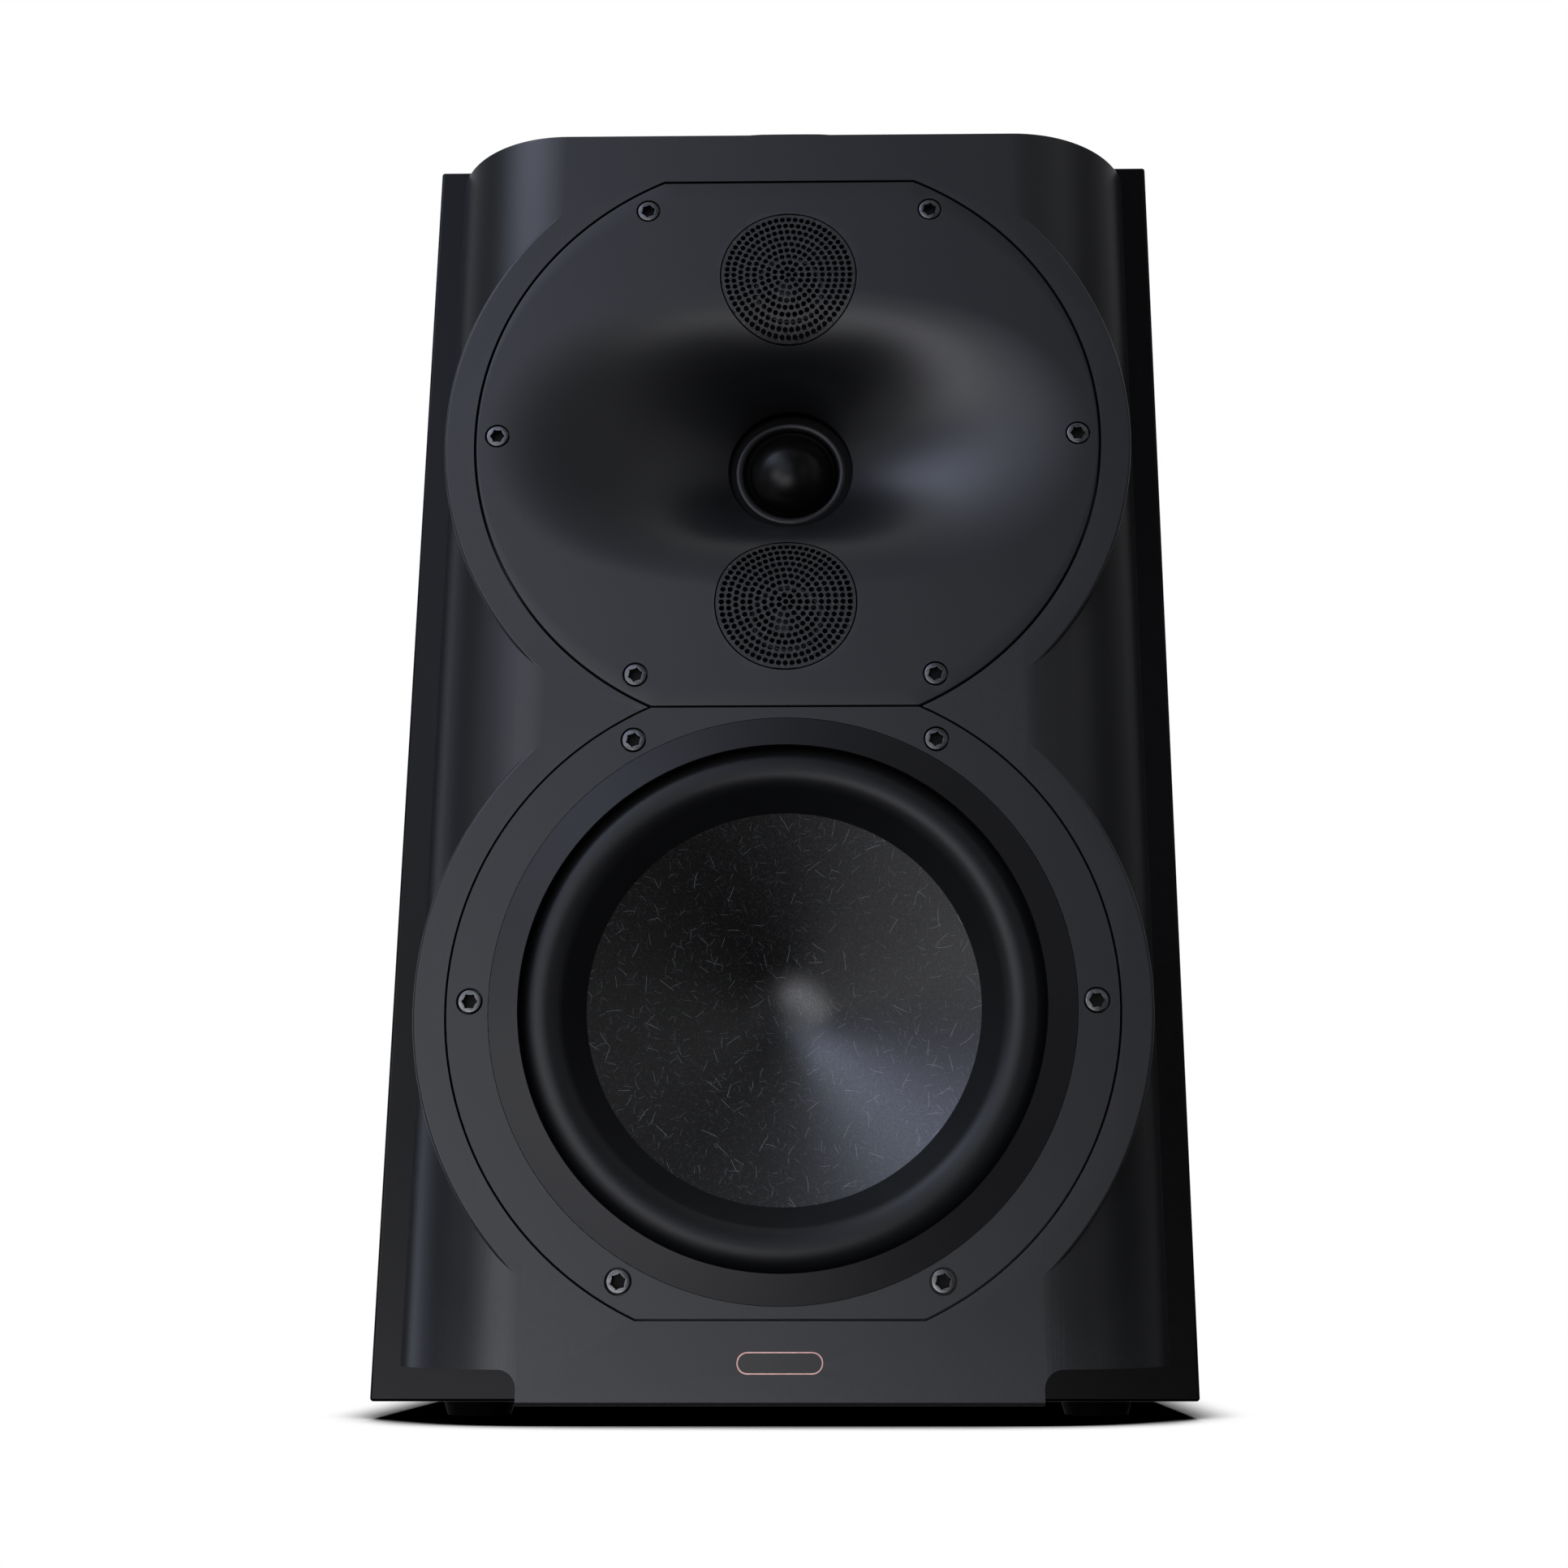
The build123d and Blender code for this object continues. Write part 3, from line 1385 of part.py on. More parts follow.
woofer_routes = [
    [
        (x, tab_back_y, tab_z),
        (x, tab_back_y + 22.0, tab_z),
        (x * 1.2, tab_back_y + 48.0, tab_z - 12.0),
        (x * 1.4, driver_landing_y - 18.0, tab_z - 62.0),
        (x * 1.5, driver_landing_y, board_top_z + 52.0),
        (x * 1.5, driver_landing_y, board_top_z),
    ]
    for x in tab_xs
]
woofer_leads = join_solids([build_lead(route, lead_radius) for route in woofer_routes])
woofer_leads.part.label = "woofer_leads"
export_step(woofer_leads.part, "parts/woofer_leads.step")

tweeter_motor_depth = housing_thickness + cup_depth
tweeter_routes = []
for face, lead_x in ((upper_face, 42.0), (main_face, 48.0), (lower_face, 54.0)):
    back = set_back(face, tweeter_motor_depth).origin
    behind = set_back(face, tweeter_motor_depth + 20.0).origin
    tweeter_routes.append(
        [
            (back.X, back.Y, back.Z),
            (behind.X, behind.Y, behind.Z),
            (lead_x * 0.6, behind.Y + 16.0, behind.Z - 8.0),
            (lead_x, behind.Y + 36.0, behind.Z - 24.0),
            (lead_x, driver_landing_y + 6.0, brace_top_z + 12.0),
            (lead_x, driver_landing_y, brace_bottom_z - 30.0),
            (lead_x, driver_landing_y, board_top_z),
        ]
    )
tweeter_leads = join_solids([build_lead(route, lead_radius) for route in tweeter_routes])
tweeter_leads.part.label = "tweeter_leads"
export_step(tweeter_leads.part, "parts/tweeter_leads.step")
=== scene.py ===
import json
from math import cos, hypot, pi, radians, sin, sqrt

import bpy
import numpy as np
from mathutils import Matrix, Vector

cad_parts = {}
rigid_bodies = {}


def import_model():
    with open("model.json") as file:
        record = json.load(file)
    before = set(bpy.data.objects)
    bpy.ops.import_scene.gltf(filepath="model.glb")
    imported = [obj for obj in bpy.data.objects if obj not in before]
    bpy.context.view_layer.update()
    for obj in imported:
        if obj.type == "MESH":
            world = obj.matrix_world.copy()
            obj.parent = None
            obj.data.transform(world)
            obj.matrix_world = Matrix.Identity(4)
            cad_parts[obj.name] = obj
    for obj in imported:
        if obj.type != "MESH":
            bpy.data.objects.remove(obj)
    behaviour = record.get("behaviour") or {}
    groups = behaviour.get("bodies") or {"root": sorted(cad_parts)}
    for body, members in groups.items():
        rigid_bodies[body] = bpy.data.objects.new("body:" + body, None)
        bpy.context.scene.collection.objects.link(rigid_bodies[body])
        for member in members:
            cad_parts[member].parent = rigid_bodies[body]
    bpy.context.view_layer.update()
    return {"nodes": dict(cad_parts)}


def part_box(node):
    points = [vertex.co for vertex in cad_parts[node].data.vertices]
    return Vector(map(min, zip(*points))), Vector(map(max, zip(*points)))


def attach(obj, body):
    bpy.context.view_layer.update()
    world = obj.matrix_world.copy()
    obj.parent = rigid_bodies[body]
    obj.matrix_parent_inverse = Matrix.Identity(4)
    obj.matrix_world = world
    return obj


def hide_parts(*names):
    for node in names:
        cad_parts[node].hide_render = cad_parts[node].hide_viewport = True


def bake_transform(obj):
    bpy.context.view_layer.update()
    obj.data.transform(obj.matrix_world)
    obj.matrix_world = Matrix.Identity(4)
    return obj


for leftover in list(bpy.data.objects):
    bpy.data.objects.remove(leftover)
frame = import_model()

# ---- Cabinet --------------------------------------------------------------------------
# Six panels of 18 mm fibreboard, glued up as a sealed box. The outside is black piano
# lacquer over filler: sprayed, flatted and polished, with a trace of orange peel left.
mm = 0.001


def add(tree, kind, inputs=(), **settings):
    """New node in a tree. Its inputs take a value or another node's output."""
    made = tree.nodes.new(kind)
    for key, value in settings.items():
        setattr(made, key, value)
    for key, value in dict(inputs).items():
        if isinstance(value, bpy.types.NodeSocket):
            tree.links.new(value, made.inputs[key])
        else:
            made.inputs[key].default_value = value
    return made


def math(tree, operation, *values, clamp=False):
    node = add(tree, "ShaderNodeMath", dict(enumerate(values)), operation=operation)
    node.use_clamp = clamp
    return node.outputs[0]


def spread(tree, value, low, high, out_low=0.0, out_high=1.0, smooth=False):
    """A value between low and high, mapped to another range."""
    inputs = {0: value, 1: low, 2: high, 3: out_low, 4: out_high}
    node = add(tree, "ShaderNodeMapRange", inputs)
    if smooth:
        node.interpolation_type = "SMOOTHSTEP"
    return node.outputs[0]


def mix(tree, share, first, second):
    """Colour between two colours."""
    inputs = {"Factor": share, 6: first, 7: second}
    return add(tree, "ShaderNodeMix", inputs, data_type="RGBA").outputs[2]


def make_group(name, inputs, outputs):
    """Empty node group with named number inputs and outputs."""
    group = bpy.data.node_groups.new(name, "ShaderNodeTree")
    for label, value in inputs.items():
        socket = group.interface.new_socket(
            name=label, in_out="INPUT", socket_type="NodeSocketFloat"
        )
        socket.default_value = value
    for label in outputs:
        group.interface.new_socket(
            name=label, in_out="OUTPUT", socket_type="NodeSocketFloat"
        )
    return group, group.nodes.new("NodeGroupInput"), group.nodes.new("NodeGroupOutput")


def use(tree, group, **inputs):
    """The outputs of a node group placed in a tree with its own values."""
    node = tree.nodes.new("ShaderNodeGroup")
    node.node_tree = group
    for key, value in inputs.items():
        node.inputs[key.replace("_", " ").capitalize()].default_value = value
    return node.outputs


# Fine grain of a sprayed or moulded surface, with soft clouds of tone over it.
grain, into, out = make_group(
    "grain", {"Grain size": 0.4 * mm, "Cloud size": 40 * mm}, ["Grain", "Clouds"]
)
place = add(grain, "ShaderNodeTexCoord").outputs["Object"]
for size, label, detail in (("Grain size", "Grain", 2.0), ("Cloud size", "Clouds", 4.0)):
    scale = math(grain, "DIVIDE", 1.0, into.outputs[size])
    noise = add(
        grain,
        "ShaderNodeTexNoise",
        {"Vector": place, "Scale": scale, "Detail": detail, "Roughness": 0.55},
    )
    grain.links.new(noise.outputs["Fac"], out.inputs[label])

# Dust that settles on faces that look up, in uneven patches.
dust, into, out = make_group("dust", {"Amount": 0.1, "Patch size": 8 * mm}, ["Mask"])
normal = add(dust, "ShaderNodeNewGeometry").outputs["Normal"]
facing_up = add(dust, "ShaderNodeSeparateXYZ", {0: normal}).outputs["Z"]
patches = add(
    dust,
    "ShaderNodeTexNoise",
    {
        "Vector": add(dust, "ShaderNodeTexCoord").outputs["Object"],
        "Scale": math(dust, "DIVIDE", 1.0, into.outputs["Patch size"]),
        "Detail": 5.0,
    },
).outputs["Fac"]
settled = math(dust, "MULTIPLY", spread(dust, facing_up, 0.2, 1.0), patches)
dust.links.new(math(dust, "MULTIPLY", settled, into.outputs["Amount"]), out.inputs["Mask"])

# Edges painted a little brighter, from how sharply the surface turns: partly rubbed wear
# and partly a painted highlight along rounded edges.
edge_rub_and_highlight, into, out = make_group("rubbed_and_highlit_edges", {"Amount": 0.3, "Start": 0.52}, ["Mask"])
turn = add(edge_rub_and_highlight, "ShaderNodeNewGeometry").outputs["Pointiness"]
past = math(edge_rub_and_highlight, "SUBTRACT", turn, into.outputs["Start"])
ragged = add(
    edge_rub_and_highlight,
    "ShaderNodeTexNoise",
    {"Vector": add(edge_rub_and_highlight, "ShaderNodeTexCoord").outputs["Object"], "Scale": 900.0, "Detail": 3.0},
).outputs["Fac"]
edge_gain = 12.0
sharp = math(edge_rub_and_highlight, "MULTIPLY", past, edge_gain, clamp=True)
worn_and_highlit = math(edge_rub_and_highlight, "MULTIPLY", math(edge_rub_and_highlight, "MULTIPLY", sharp, ragged), into.outputs["Amount"])
edge_rub_and_highlight.links.new(worn_and_highlit, out.inputs["Mask"])

dust_grey = (0.32, 0.31, 0.3, 1.0)


def finish(
    name,
    deep,
    pale,
    roughness,
    roughness_spread=0.06,
    grain_size=0.4,
    cloud_size=40.0,
    relief=0.01,
    rubbed=0.0,
    dusty=0.05,
    rubbed_and_highlight_tone=(0.12, 0.12, 0.125),
    **sockets,
):
    """Material whose tone drifts from deep to pale in clouds, with grain, dust, and edges
    made brighter as rubbed wear and as a painted highlight. Sizes are in millimetres."""
    material = bpy.data.materials.new(name)
    material.use_nodes = True
    tree = material.node_tree
    shader = tree.nodes["Principled BSDF"]
    fine = use(tree, grain, Grain_size=grain_size * mm, Cloud_size=cloud_size * mm)
    tone = mix(tree, spread(tree, fine["Clouds"], 0.3, 0.7), (*deep, 1), (*pale, 1))
    # Brighter edges: partly rubbed wear, partly a painted highlight.
    if rubbed:
        worn_and_highlit = use(tree, edge_rub_and_highlight, Amount=rubbed)["Mask"]
        tone = mix(tree, worn_and_highlit, tone, (*rubbed_and_highlight_tone, 1))
    if dusty:
        settled = use(tree, dust, Amount=dusty)["Mask"]
        tone = mix(tree, settled, tone, dust_grey)
    tree.links.new(tone, shader.inputs["Base Color"])
    rough = spread(
        tree, fine["Grain"], 0.3, 0.7, roughness - roughness_spread, roughness + roughness_spread
    )
    tree.links.new(rough, shader.inputs["Roughness"])
    bump = add(
        tree,
        "ShaderNodeBump",
        {"Height": fine["Grain"], "Distance": relief * mm, "Strength": 1.0},
    )
    tree.links.new(bump.outputs["Normal"], shader.inputs["Normal"])
    for socket, value in sockets.items():
        shader.inputs[socket.replace("_", " ")].default_value = value
    return material


def paint(material, *names):
    """Gives CAD nodes a material."""
    for name in names:
        mesh = frame["nodes"][name].data
        mesh.materials.clear()
        mesh.materials.append(material)


lacquer = finish(
    "black_lacquer", (0.001, 0.001, 0.0011), (0.0014, 0.0014, 0.0016), 0.16,
    roughness_spread=0.02, grain_size=3.0, cloud_size=60.0, relief=0.004, dusty=0.01,
    Specular_IOR_Level=0.12,
)
paint(lacquer, "side_panel_left", "side_panel_right")
paint(lacquer, "top_panel", "bottom_panel", "rear_panel")

# ---- Inside the cabinet ---------------------------------------------------------------
# The front panel and the windowed brace are bare fibreboard. Grey polyester felt lines
# the side walls, and six steel bolts hold the baffle from inside.
fibreboard = finish(
    "bare_fibreboard", (0.3, 0.2, 0.11), (0.42, 0.3, 0.18), 0.85,
    grain_size=0.8, cloud_size=12.0, relief=0.05,
)
felt = finish(
    "lining_felt", (0.16, 0.16, 0.165), (0.3, 0.3, 0.3), 0.95,
    grain_size=0.6, cloud_size=6.0, relief=0.3, Sheen_Weight=0.5,
)
zinc = finish(
    "zinc_plated_steel", (0.5, 0.5, 0.5), (0.62, 0.62, 0.6), 0.35,
    grain_size=0.3, cloud_size=4.0, Metallic=1.0,
)
paint(fibreboard, "front_panel", "window_brace")
paint(felt, "damping_lining")
paint(zinc, "baffle_bolts")

# ---- Feet -----------------------------------------------------------------------------
# Four turned pads of matt black rubber, 5 mm high, glued under the cabinet's corners.
# They leave a dark gap between the cabinet and the floor. The pads are painted near black,
# as the shade under the cabinet hides them.
# Painted shade: near-black tone and almost no shine, for the shade under the cabinet.
foot_rubber = finish(
    "foot_rubber", (0.001, 0.001, 0.001), (0.002, 0.002, 0.002), 0.75,
    grain_size=0.5, cloud_size=10.0, relief=0.04, Specular_IOR_Level=0.05,
)
paint(foot_rubber, "rubber_feet")

# ---- Front baffle ---------------------------------------------------------------------
# A 27 mm moulded composite front with rounded flanks and two round bosses that stand
# free of them. Fine satin black texture paint covers it, rubbed bright on the boss edges,
# where the brightness is partly wear and partly a painted highlight.
satin_black = dict(
    deep=(0.0068, 0.007, 0.0076),
    pale=(0.0084, 0.0086, 0.0093),
    roughness=0.34,
    roughness_spread=0.04,
    dusty=0.012,
    Specular_IOR_Level=0.36,
)
satin = finish(
    "satin_texture_paint",
    grain_size=0.35, cloud_size=70.0, relief=0.012, rubbed=0.35, **satin_black,
)
baffle_low, baffle_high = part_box("front_baffle")
plate_low, plate_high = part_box("waveguide_plate")
woofer_low, woofer_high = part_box("woofer_gasket")
face_y = baffle_low.y
back_y = baffle_high.y
tweeter_z = (plate_low.z + plate_high.z) / 2
woofer_z = (woofer_low.z + woofer_high.z) / 2
plate_radius = plate_high.x
plate_flat = plate_high.z - tweeter_z
arc_radius = 41.4 * mm
flank_half_width = baffle_high.x
flat_half_width = flank_half_width - sqrt(
    arc_radius**2 - (arc_radius - (back_y - face_y)) ** 2
)
foot_round = 1.2 * mm
top_round = 0.6 * mm
boss_radius = 107.5 * mm
boss_round = 1.0 * mm
boss_back_gap = 1.2 * mm
recess_gap = 0.65 * mm
recess_depth = 7.0 * mm
opening_radius = 82.0 * mm
notch_half_width = 73.0 * mm
notch_top = baffle_low.z + 9.6 * mm
notch_radius = 5.3 * mm
# What lies this near a plane is picked as lying in it, and cutters reach this far past
# what they cut.
near = 0.1 * mm
beyond = 10 * mm


def choose(piece):
    """Makes a piece the only one selected, and the active one."""
    bpy.ops.object.select_all(action="DESELECT")
    piece.select_set(True)
    bpy.context.view_layer.objects.active = piece


def new_piece(name, mesh):
    """Puts a mesh in the scene as a piece, and selects it."""
    piece = bpy.data.objects.new(name, mesh)
    bpy.context.scene.collection.objects.link(piece)
    choose(piece)
    return piece


def edit(piece, parts=(), chosen=None):
    """Opens a piece in edit mode with all of it selected, or only those of its edges or
    faces for which chosen holds."""
    choose(piece)
    bpy.ops.object.mode_set(mode="EDIT")
    bpy.ops.mesh.select_all(action="DESELECT" if chosen else "SELECT")
    if chosen:
        bpy.ops.object.mode_set(mode="OBJECT")
        for part in parts:
            part.select = bool(chosen(part))
        bpy.ops.object.mode_set(mode="EDIT")


def close_up(weld=0.0):
    """Turns the edited piece's faces outwards, once points within weld are merged, and
    leaves edit mode."""
    bpy.ops.mesh.select_all(action="SELECT")
    if weld:
        bpy.ops.mesh.remove_doubles(threshold=weld)
    bpy.ops.mesh.normals_make_consistent(inside=False)
    bpy.ops.object.mode_set(mode="OBJECT")


def cylinder(name, radius, depth, place, sides):
    """Cylinder whose axis points along Y."""
    bpy.ops.object.select_all(action="DESELECT")
    bpy.ops.mesh.primitive_cylinder_add(
        vertices=sides, radius=radius, depth=depth, location=place, rotation=(pi / 2, 0, 0)
    )
    made = bpy.context.active_object
    made.name = name
    return made


def combine(piece, operation, *others):
    """Joins other shapes to a piece as one solid, or takes them out of it."""
    for other in others:
        step = piece.modifiers.new("step", "BOOLEAN")
        step.operation = operation
        step.solver = "MANIFOLD"
        step.object = other
        choose(piece)
        bpy.ops.object.modifier_apply(modifier=step.name)
        bpy.data.objects.remove(other)


def cut(piece, *cutters):
    """Takes the cutters' shapes out of a piece."""
    combine(piece, "DIFFERENCE", *cutters)


def settle(piece, body, slot, material, *stands_for, smooth=30.0):
    """Gives a finished piece its smooth shading, material and body. The slot is not used."""
    choose(piece)
    bpy.ops.object.transform_apply(location=True, rotation=True, scale=True)
    bpy.ops.object.shade_smooth_by_angle(angle=radians(smooth))
    piece.data.materials.clear()
    piece.data.materials.append(material)
    if body:
        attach(piece, body)
    if stands_for:
        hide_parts(*stands_for)
    return piece


def prism(name, outline_points, front, back, flat=True):
    """Flat-sided solid: an outline in X and Z, drawn through from front to back. An
    outline in X and Y is drawn upwards instead."""
    corners = [(x, front, z) if flat else (x, z, front) for x, z in outline_points]
    mesh = bpy.data.meshes.new(name)
    mesh.from_pydata(corners, [], [tuple(range(len(corners)))])
    piece = new_piece(name, mesh)
    edit(piece)
    reach = (0, back - front, 0) if flat else (0, 0, back - front)
    bpy.ops.mesh.extrude_region_move(TRANSFORM_OT_translate={"value": reach})
    close_up()
    return piece


def round_edges(piece, width, chosen, segments=4):
    """Rounds the edges for which chosen(start, end) holds."""
    points = piece.data.vertices
    place = piece.matrix_world

    def ends_hold(edge):
        return chosen(*(place @ points[number].co for number in edge.vertices))

    edit(piece, piece.data.edges, ends_hold)
    bpy.ops.mesh.select_mode(type="EDGE")
    bpy.ops.mesh.bevel(offset=width, segments=segments, affect="EDGES")
    bpy.ops.object.mode_set(mode="OBJECT")


def even_shading(piece):
    """Shades each large face by its own direction, so that only its edges curve."""
    choose(piece)
    even = piece.modifiers.new("even_shading", "WEIGHTED_NORMAL")
    even.keep_sharp = True
    even.weight = 100
    bpy.ops.object.modifier_apply(modifier=even.name)


def circle_points(radius, centre_z, steps, clip=None):
    """Points of a circle, or of one clipped to a flat at its top and bottom."""
    angles = [2 * pi * number / steps for number in range(steps)]
    if clip:
        bend = np.degrees(np.arcsin(clip / radius))
        angles = [
            radians(angle)
            for start in (-bend, 180 - bend)
            for angle in np.linspace(start, start + 2 * bend, steps // 2)
        ]
    return [(radius * cos(angle), centre_z + radius * sin(angle)) for angle in angles]


flank = [
    (flat_half_width + arc_radius * sin(angle), face_y + arc_radius * (1 - cos(angle)))
    for angle in np.linspace(0, np.arccos(1 - (back_y - face_y) / arc_radius), 40)
]
section = [(-x, y) for x, y in reversed(flank)] + flank
baffle = prism("moulded_baffle", section, baffle_low.z, baffle_high.z, flat=False)
round_edges(
    baffle,
    foot_round,
    lambda a, b: max(a.z, b.z) < baffle_low.z + near and min(a.y, b.y) < back_y - near,
)
round_edges(
    baffle,
    top_round,
    lambda a, b: min(a.z, b.z) > baffle_high.z - near and min(a.y, b.y) < back_y - near,
    3,
)
above_top = 100 * mm  # the tweeter's boss is cut off level with the baffle's top
for centre_z in (tweeter_z, woofer_z):
    rim = circle_points(boss_radius, centre_z, 256)
    boss = prism("boss", rim, face_y, back_y - boss_back_gap)
    round_edges(boss, boss_round, lambda a, b: max(a.y, b.y) < face_y + near)
    if centre_z == tweeter_z:
        place = (0, face_y, baffle_high.z + above_top / 2)
        bpy.ops.object.select_all(action="DESELECT")
        bpy.ops.mesh.primitive_cube_add(size=above_top, location=place, scale=(4, 1, 1))
        cut(boss, bpy.context.active_object)
    combine(baffle, "UNION", boss)
for side in (-1, 1):
    corner_x = side * notch_half_width
    away = side * (flank_half_width + beyond)
    under = baffle_low.z - beyond
    bend = [
        (
            corner_x + side * notch_radius * (1 - cos(angle)),
            notch_top - notch_radius * (1 - sin(angle)),
        )
        for angle in np.linspace(0, pi / 2, 10)
    ]
    notch = [(corner_x, under), *bend, (away, notch_top), (away, under)]
    cut(baffle, prism("notch", notch, face_y - beyond, back_y + beyond))
for centre_z in (tweeter_z, woofer_z):
    rim = circle_points(plate_radius + recess_gap, centre_z, 240, plate_flat + recess_gap)
    cut(baffle, prism("recess", rim, face_y - beyond, face_y + recess_depth))
    hole = circle_points(opening_radius, centre_z, 96)
    cut(baffle, prism("opening", hole, face_y - beyond, back_y + beyond))
badge_low, badge_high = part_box("badge")
badge_z = (badge_low.z + badge_high.z) / 2
badge_half = (badge_high.z - badge_low.z) / 2
pill = [
    (
        side * (badge_high.x - badge_half + badge_half * cos(angle)),
        badge_z + side * badge_half * sin(angle),
    )
    for side in (1, -1)
    for angle in np.linspace(-pi / 2, pi / 2, 16)
]
cut(baffle, prism("badge_pocket", pill, face_y - 1 * mm, badge_high.y))
settle(baffle, "cabinet", "satin_baffle", satin, "front_baffle")
even_shading(baffle)

# ---- Badge ----------------------------------------------------------------------------
# A blank pill of brushed rose bronze, pressed into its pocket at the baffle's foot. Its
# face is painted black and the polished rim is left bare.
bronze = finish(
    "rose_bronze", (0.32, 0.19, 0.18), (0.42, 0.26, 0.24), 0.3,
    grain_size=0.2, cloud_size=3.0, relief=0.004, Metallic=1.0,
)
badge_black = finish(
    "badge_black_paint", (0.003, 0.003, 0.003), (0.0045, 0.0045, 0.0045), 0.3,
    grain_size=0.2, cloud_size=5.0, relief=0.003, dusty=0.01, Specular_IOR_Level=0.36,
)
badge_rim = 0.35 * mm
rim_step_width = 0.05 * mm
rim_step_depth = 0.08 * mm
badge = prism("badge_pill", pill, face_y, badge_high.y)
edit(
    badge,
    badge.data.polygons,
    lambda face: len(face.vertices) > 4 and face.center.y < face_y + near,
)
bpy.ops.mesh.inset(thickness=badge_rim, depth=0.0)
bpy.ops.mesh.inset(thickness=rim_step_width, depth=-rim_step_depth)
bpy.ops.object.mode_set(mode="OBJECT")
settle(badge, "cabinet", "badge_bronze", bronze, "badge")
badge.data.materials.append(badge_black)
for face in badge.data.polygons:
    in_front = face.center.y < (face_y + badge_high.y) / 2
    face.material_index = int(len(face.vertices) > 4 and in_front)

# ---- Waveguide plate ------------------------------------------------------------------
# One moulding of glass-filled plastic, sprayed satin black: a round plate with two flats
# and a wide oval horn, steepest above and below its throat. A round pocket through it
# takes each side grille, and six counterbored holes take the screws.
throat_radius = 20.0 * mm
throat_depth = 27.9 * mm
bowl_outline = (70.0 * mm, 21.0 * mm, 3.9 * mm)
bowl_curve = (2.15, 1.58)
throat_wall = 0.507
grille_offset = 55.5 * mm
pocket_radius = 21.95 * mm
pocket_through = 45 * mm
plate_depth = 6.0 * mm
edge_round = 0.45 * mm
horn_wall = 2.5 * mm
throat_lip = 1.5 * mm
screw_circle = 90.9 * mm
counterbore_radius = 3.9 * mm
counterbore_depth = 3.3 * mm
screw_hole_radius = 2.2 * mm
through = 20 * mm


def closed_rings(name, rings):
    """Ring-shaped solid: each ring of points is joined to the next, and the last to the
    first."""
    rings = np.array(rings)
    ring_count, around = rings.shape[:2]
    faces = []
    for ring in range(ring_count):
        following = (ring + 1) % ring_count
        for step in range(around):
            beside = (step + 1) % around
            faces.append(
                (
                    ring * around + step,
                    ring * around + beside,
                    following * around + beside,
                    following * around + step,
                )
            )
    mesh = bpy.data.meshes.new(name)
    mesh.from_pydata(rings.reshape(-1, 3).tolist(), [], faces)
    piece = new_piece(name, mesh)
    edit(piece)
    close_up()
    return piece


corner = np.arcsin(plate_flat / plate_radius)
quarter = np.concatenate(
    [np.linspace(0, corner, 66)[:-1], np.linspace(corner, pi / 2, 26)[:-1]]
)
around = np.concatenate([quarter, pi - np.append(quarter[1:], pi / 2)[::-1]])
around = np.concatenate([around, around + pi])


def outline(inset):
    """The plate's edge, moved in by an inset."""
    upward = np.maximum(np.abs(np.sin(around)), 1e-9)
    radius = np.minimum(plate_radius - inset, (plate_flat - inset) / upward)
    return radius * np.cos(around), radius * np.sin(around)


def bowl_rim(turned):
    """Radius at which the bowl begins, by angle, how gently it curves in there, and how
    much of its depth is a steep wall at the throat."""
    level = np.cos(2 * turned)
    radius = bowl_outline[0] + bowl_outline[1] * level + bowl_outline[2] * np.cos(4 * turned)
    curve = np.exp(bowl_curve[0] + bowl_curve[1] * level)
    return radius, curve, throat_wall * ((1 - level) / 2) ** 2


def bowl_depth(inward, curve, wall):
    """Depth at a share of the way in: curved at the rim, straighter at the throat."""
    slope = inward**2 * (1 + curve) / (inward + curve)
    return throat_depth * ((1 - wall) * slope + wall * inward**6)


def face_depth(x, z):
    """How far the plate's face lies behind its rim."""
    radius, curve, wall = bowl_rim(np.arctan2(z, x))
    inward = np.clip((radius - np.hypot(x, z)) / (radius - throat_radius), 0, 1)
    return bowl_depth(inward, curve, wall)


def ring(x, z, depth):
    """Points around the tweeter's middle, at a depth behind the baffle's face."""
    depth = np.broadcast_to(depth, x.shape)
    return np.stack([x, face_y + depth, tweeter_z + z], axis=1)


lip_depth = throat_depth + throat_lip
bowl_radius, rim_curve, rim_wall = bowl_rim(around)


def bowl_ring(inward, wall=0.0, behind=0.0):
    """Points of the bowl at a share of the way in, or of its back face."""
    radius = bowl_radius + (throat_radius - bowl_radius) * inward + wall
    depth = bowl_depth(inward, rim_curve, rim_wall) + behind
    if behind:
        depth = np.clip(depth, plate_depth, lip_depth)
    return ring(radius * np.cos(around), radius * np.sin(around), depth)


# Radius within which the throat's edge is painted near black as the shade round the roll.
painted_shade_edge = 20.4 * mm
rings = [ring(throat_radius * np.cos(around), throat_radius * np.sin(around), lip_depth)]
rings.append(bowl_ring(1.0))
rings.append(bowl_ring((bowl_radius - painted_shade_edge) / (bowl_radius - throat_radius)))
rings += [bowl_ring(inward) for inward in np.linspace(0.95, 0, 54)]
rim_x, rim_z = bowl_radius * np.cos(around), bowl_radius * np.sin(around)
edge_x, edge_z = outline(edge_round)
for share in np.linspace(0, 1, 8)[1:]:
    x = rim_x + (edge_x - rim_x) * share
    z = rim_z + (edge_z - rim_z) * share
    rings.append(ring(x, z, 0.0))
for turned in np.linspace(0, pi / 2, 5)[1:]:
    x, z = outline(edge_round * (1 - sin(turned)))
    rings.append(ring(x, z, edge_round * (1 - cos(turned))))
rings.append(ring(*outline(0.0), plate_depth))
rings += [bowl_ring(inward, horn_wall, horn_wall) for inward in np.linspace(0.1, 1, 12)]

waveguide = closed_rings("waveguide_horn", rings)
for side in (-1, 1):
    middle = (0, face_y, tweeter_z + side * grille_offset)
    cut(waveguide, cylinder("pocket", pocket_radius, 2 * pocket_through, middle, 144))


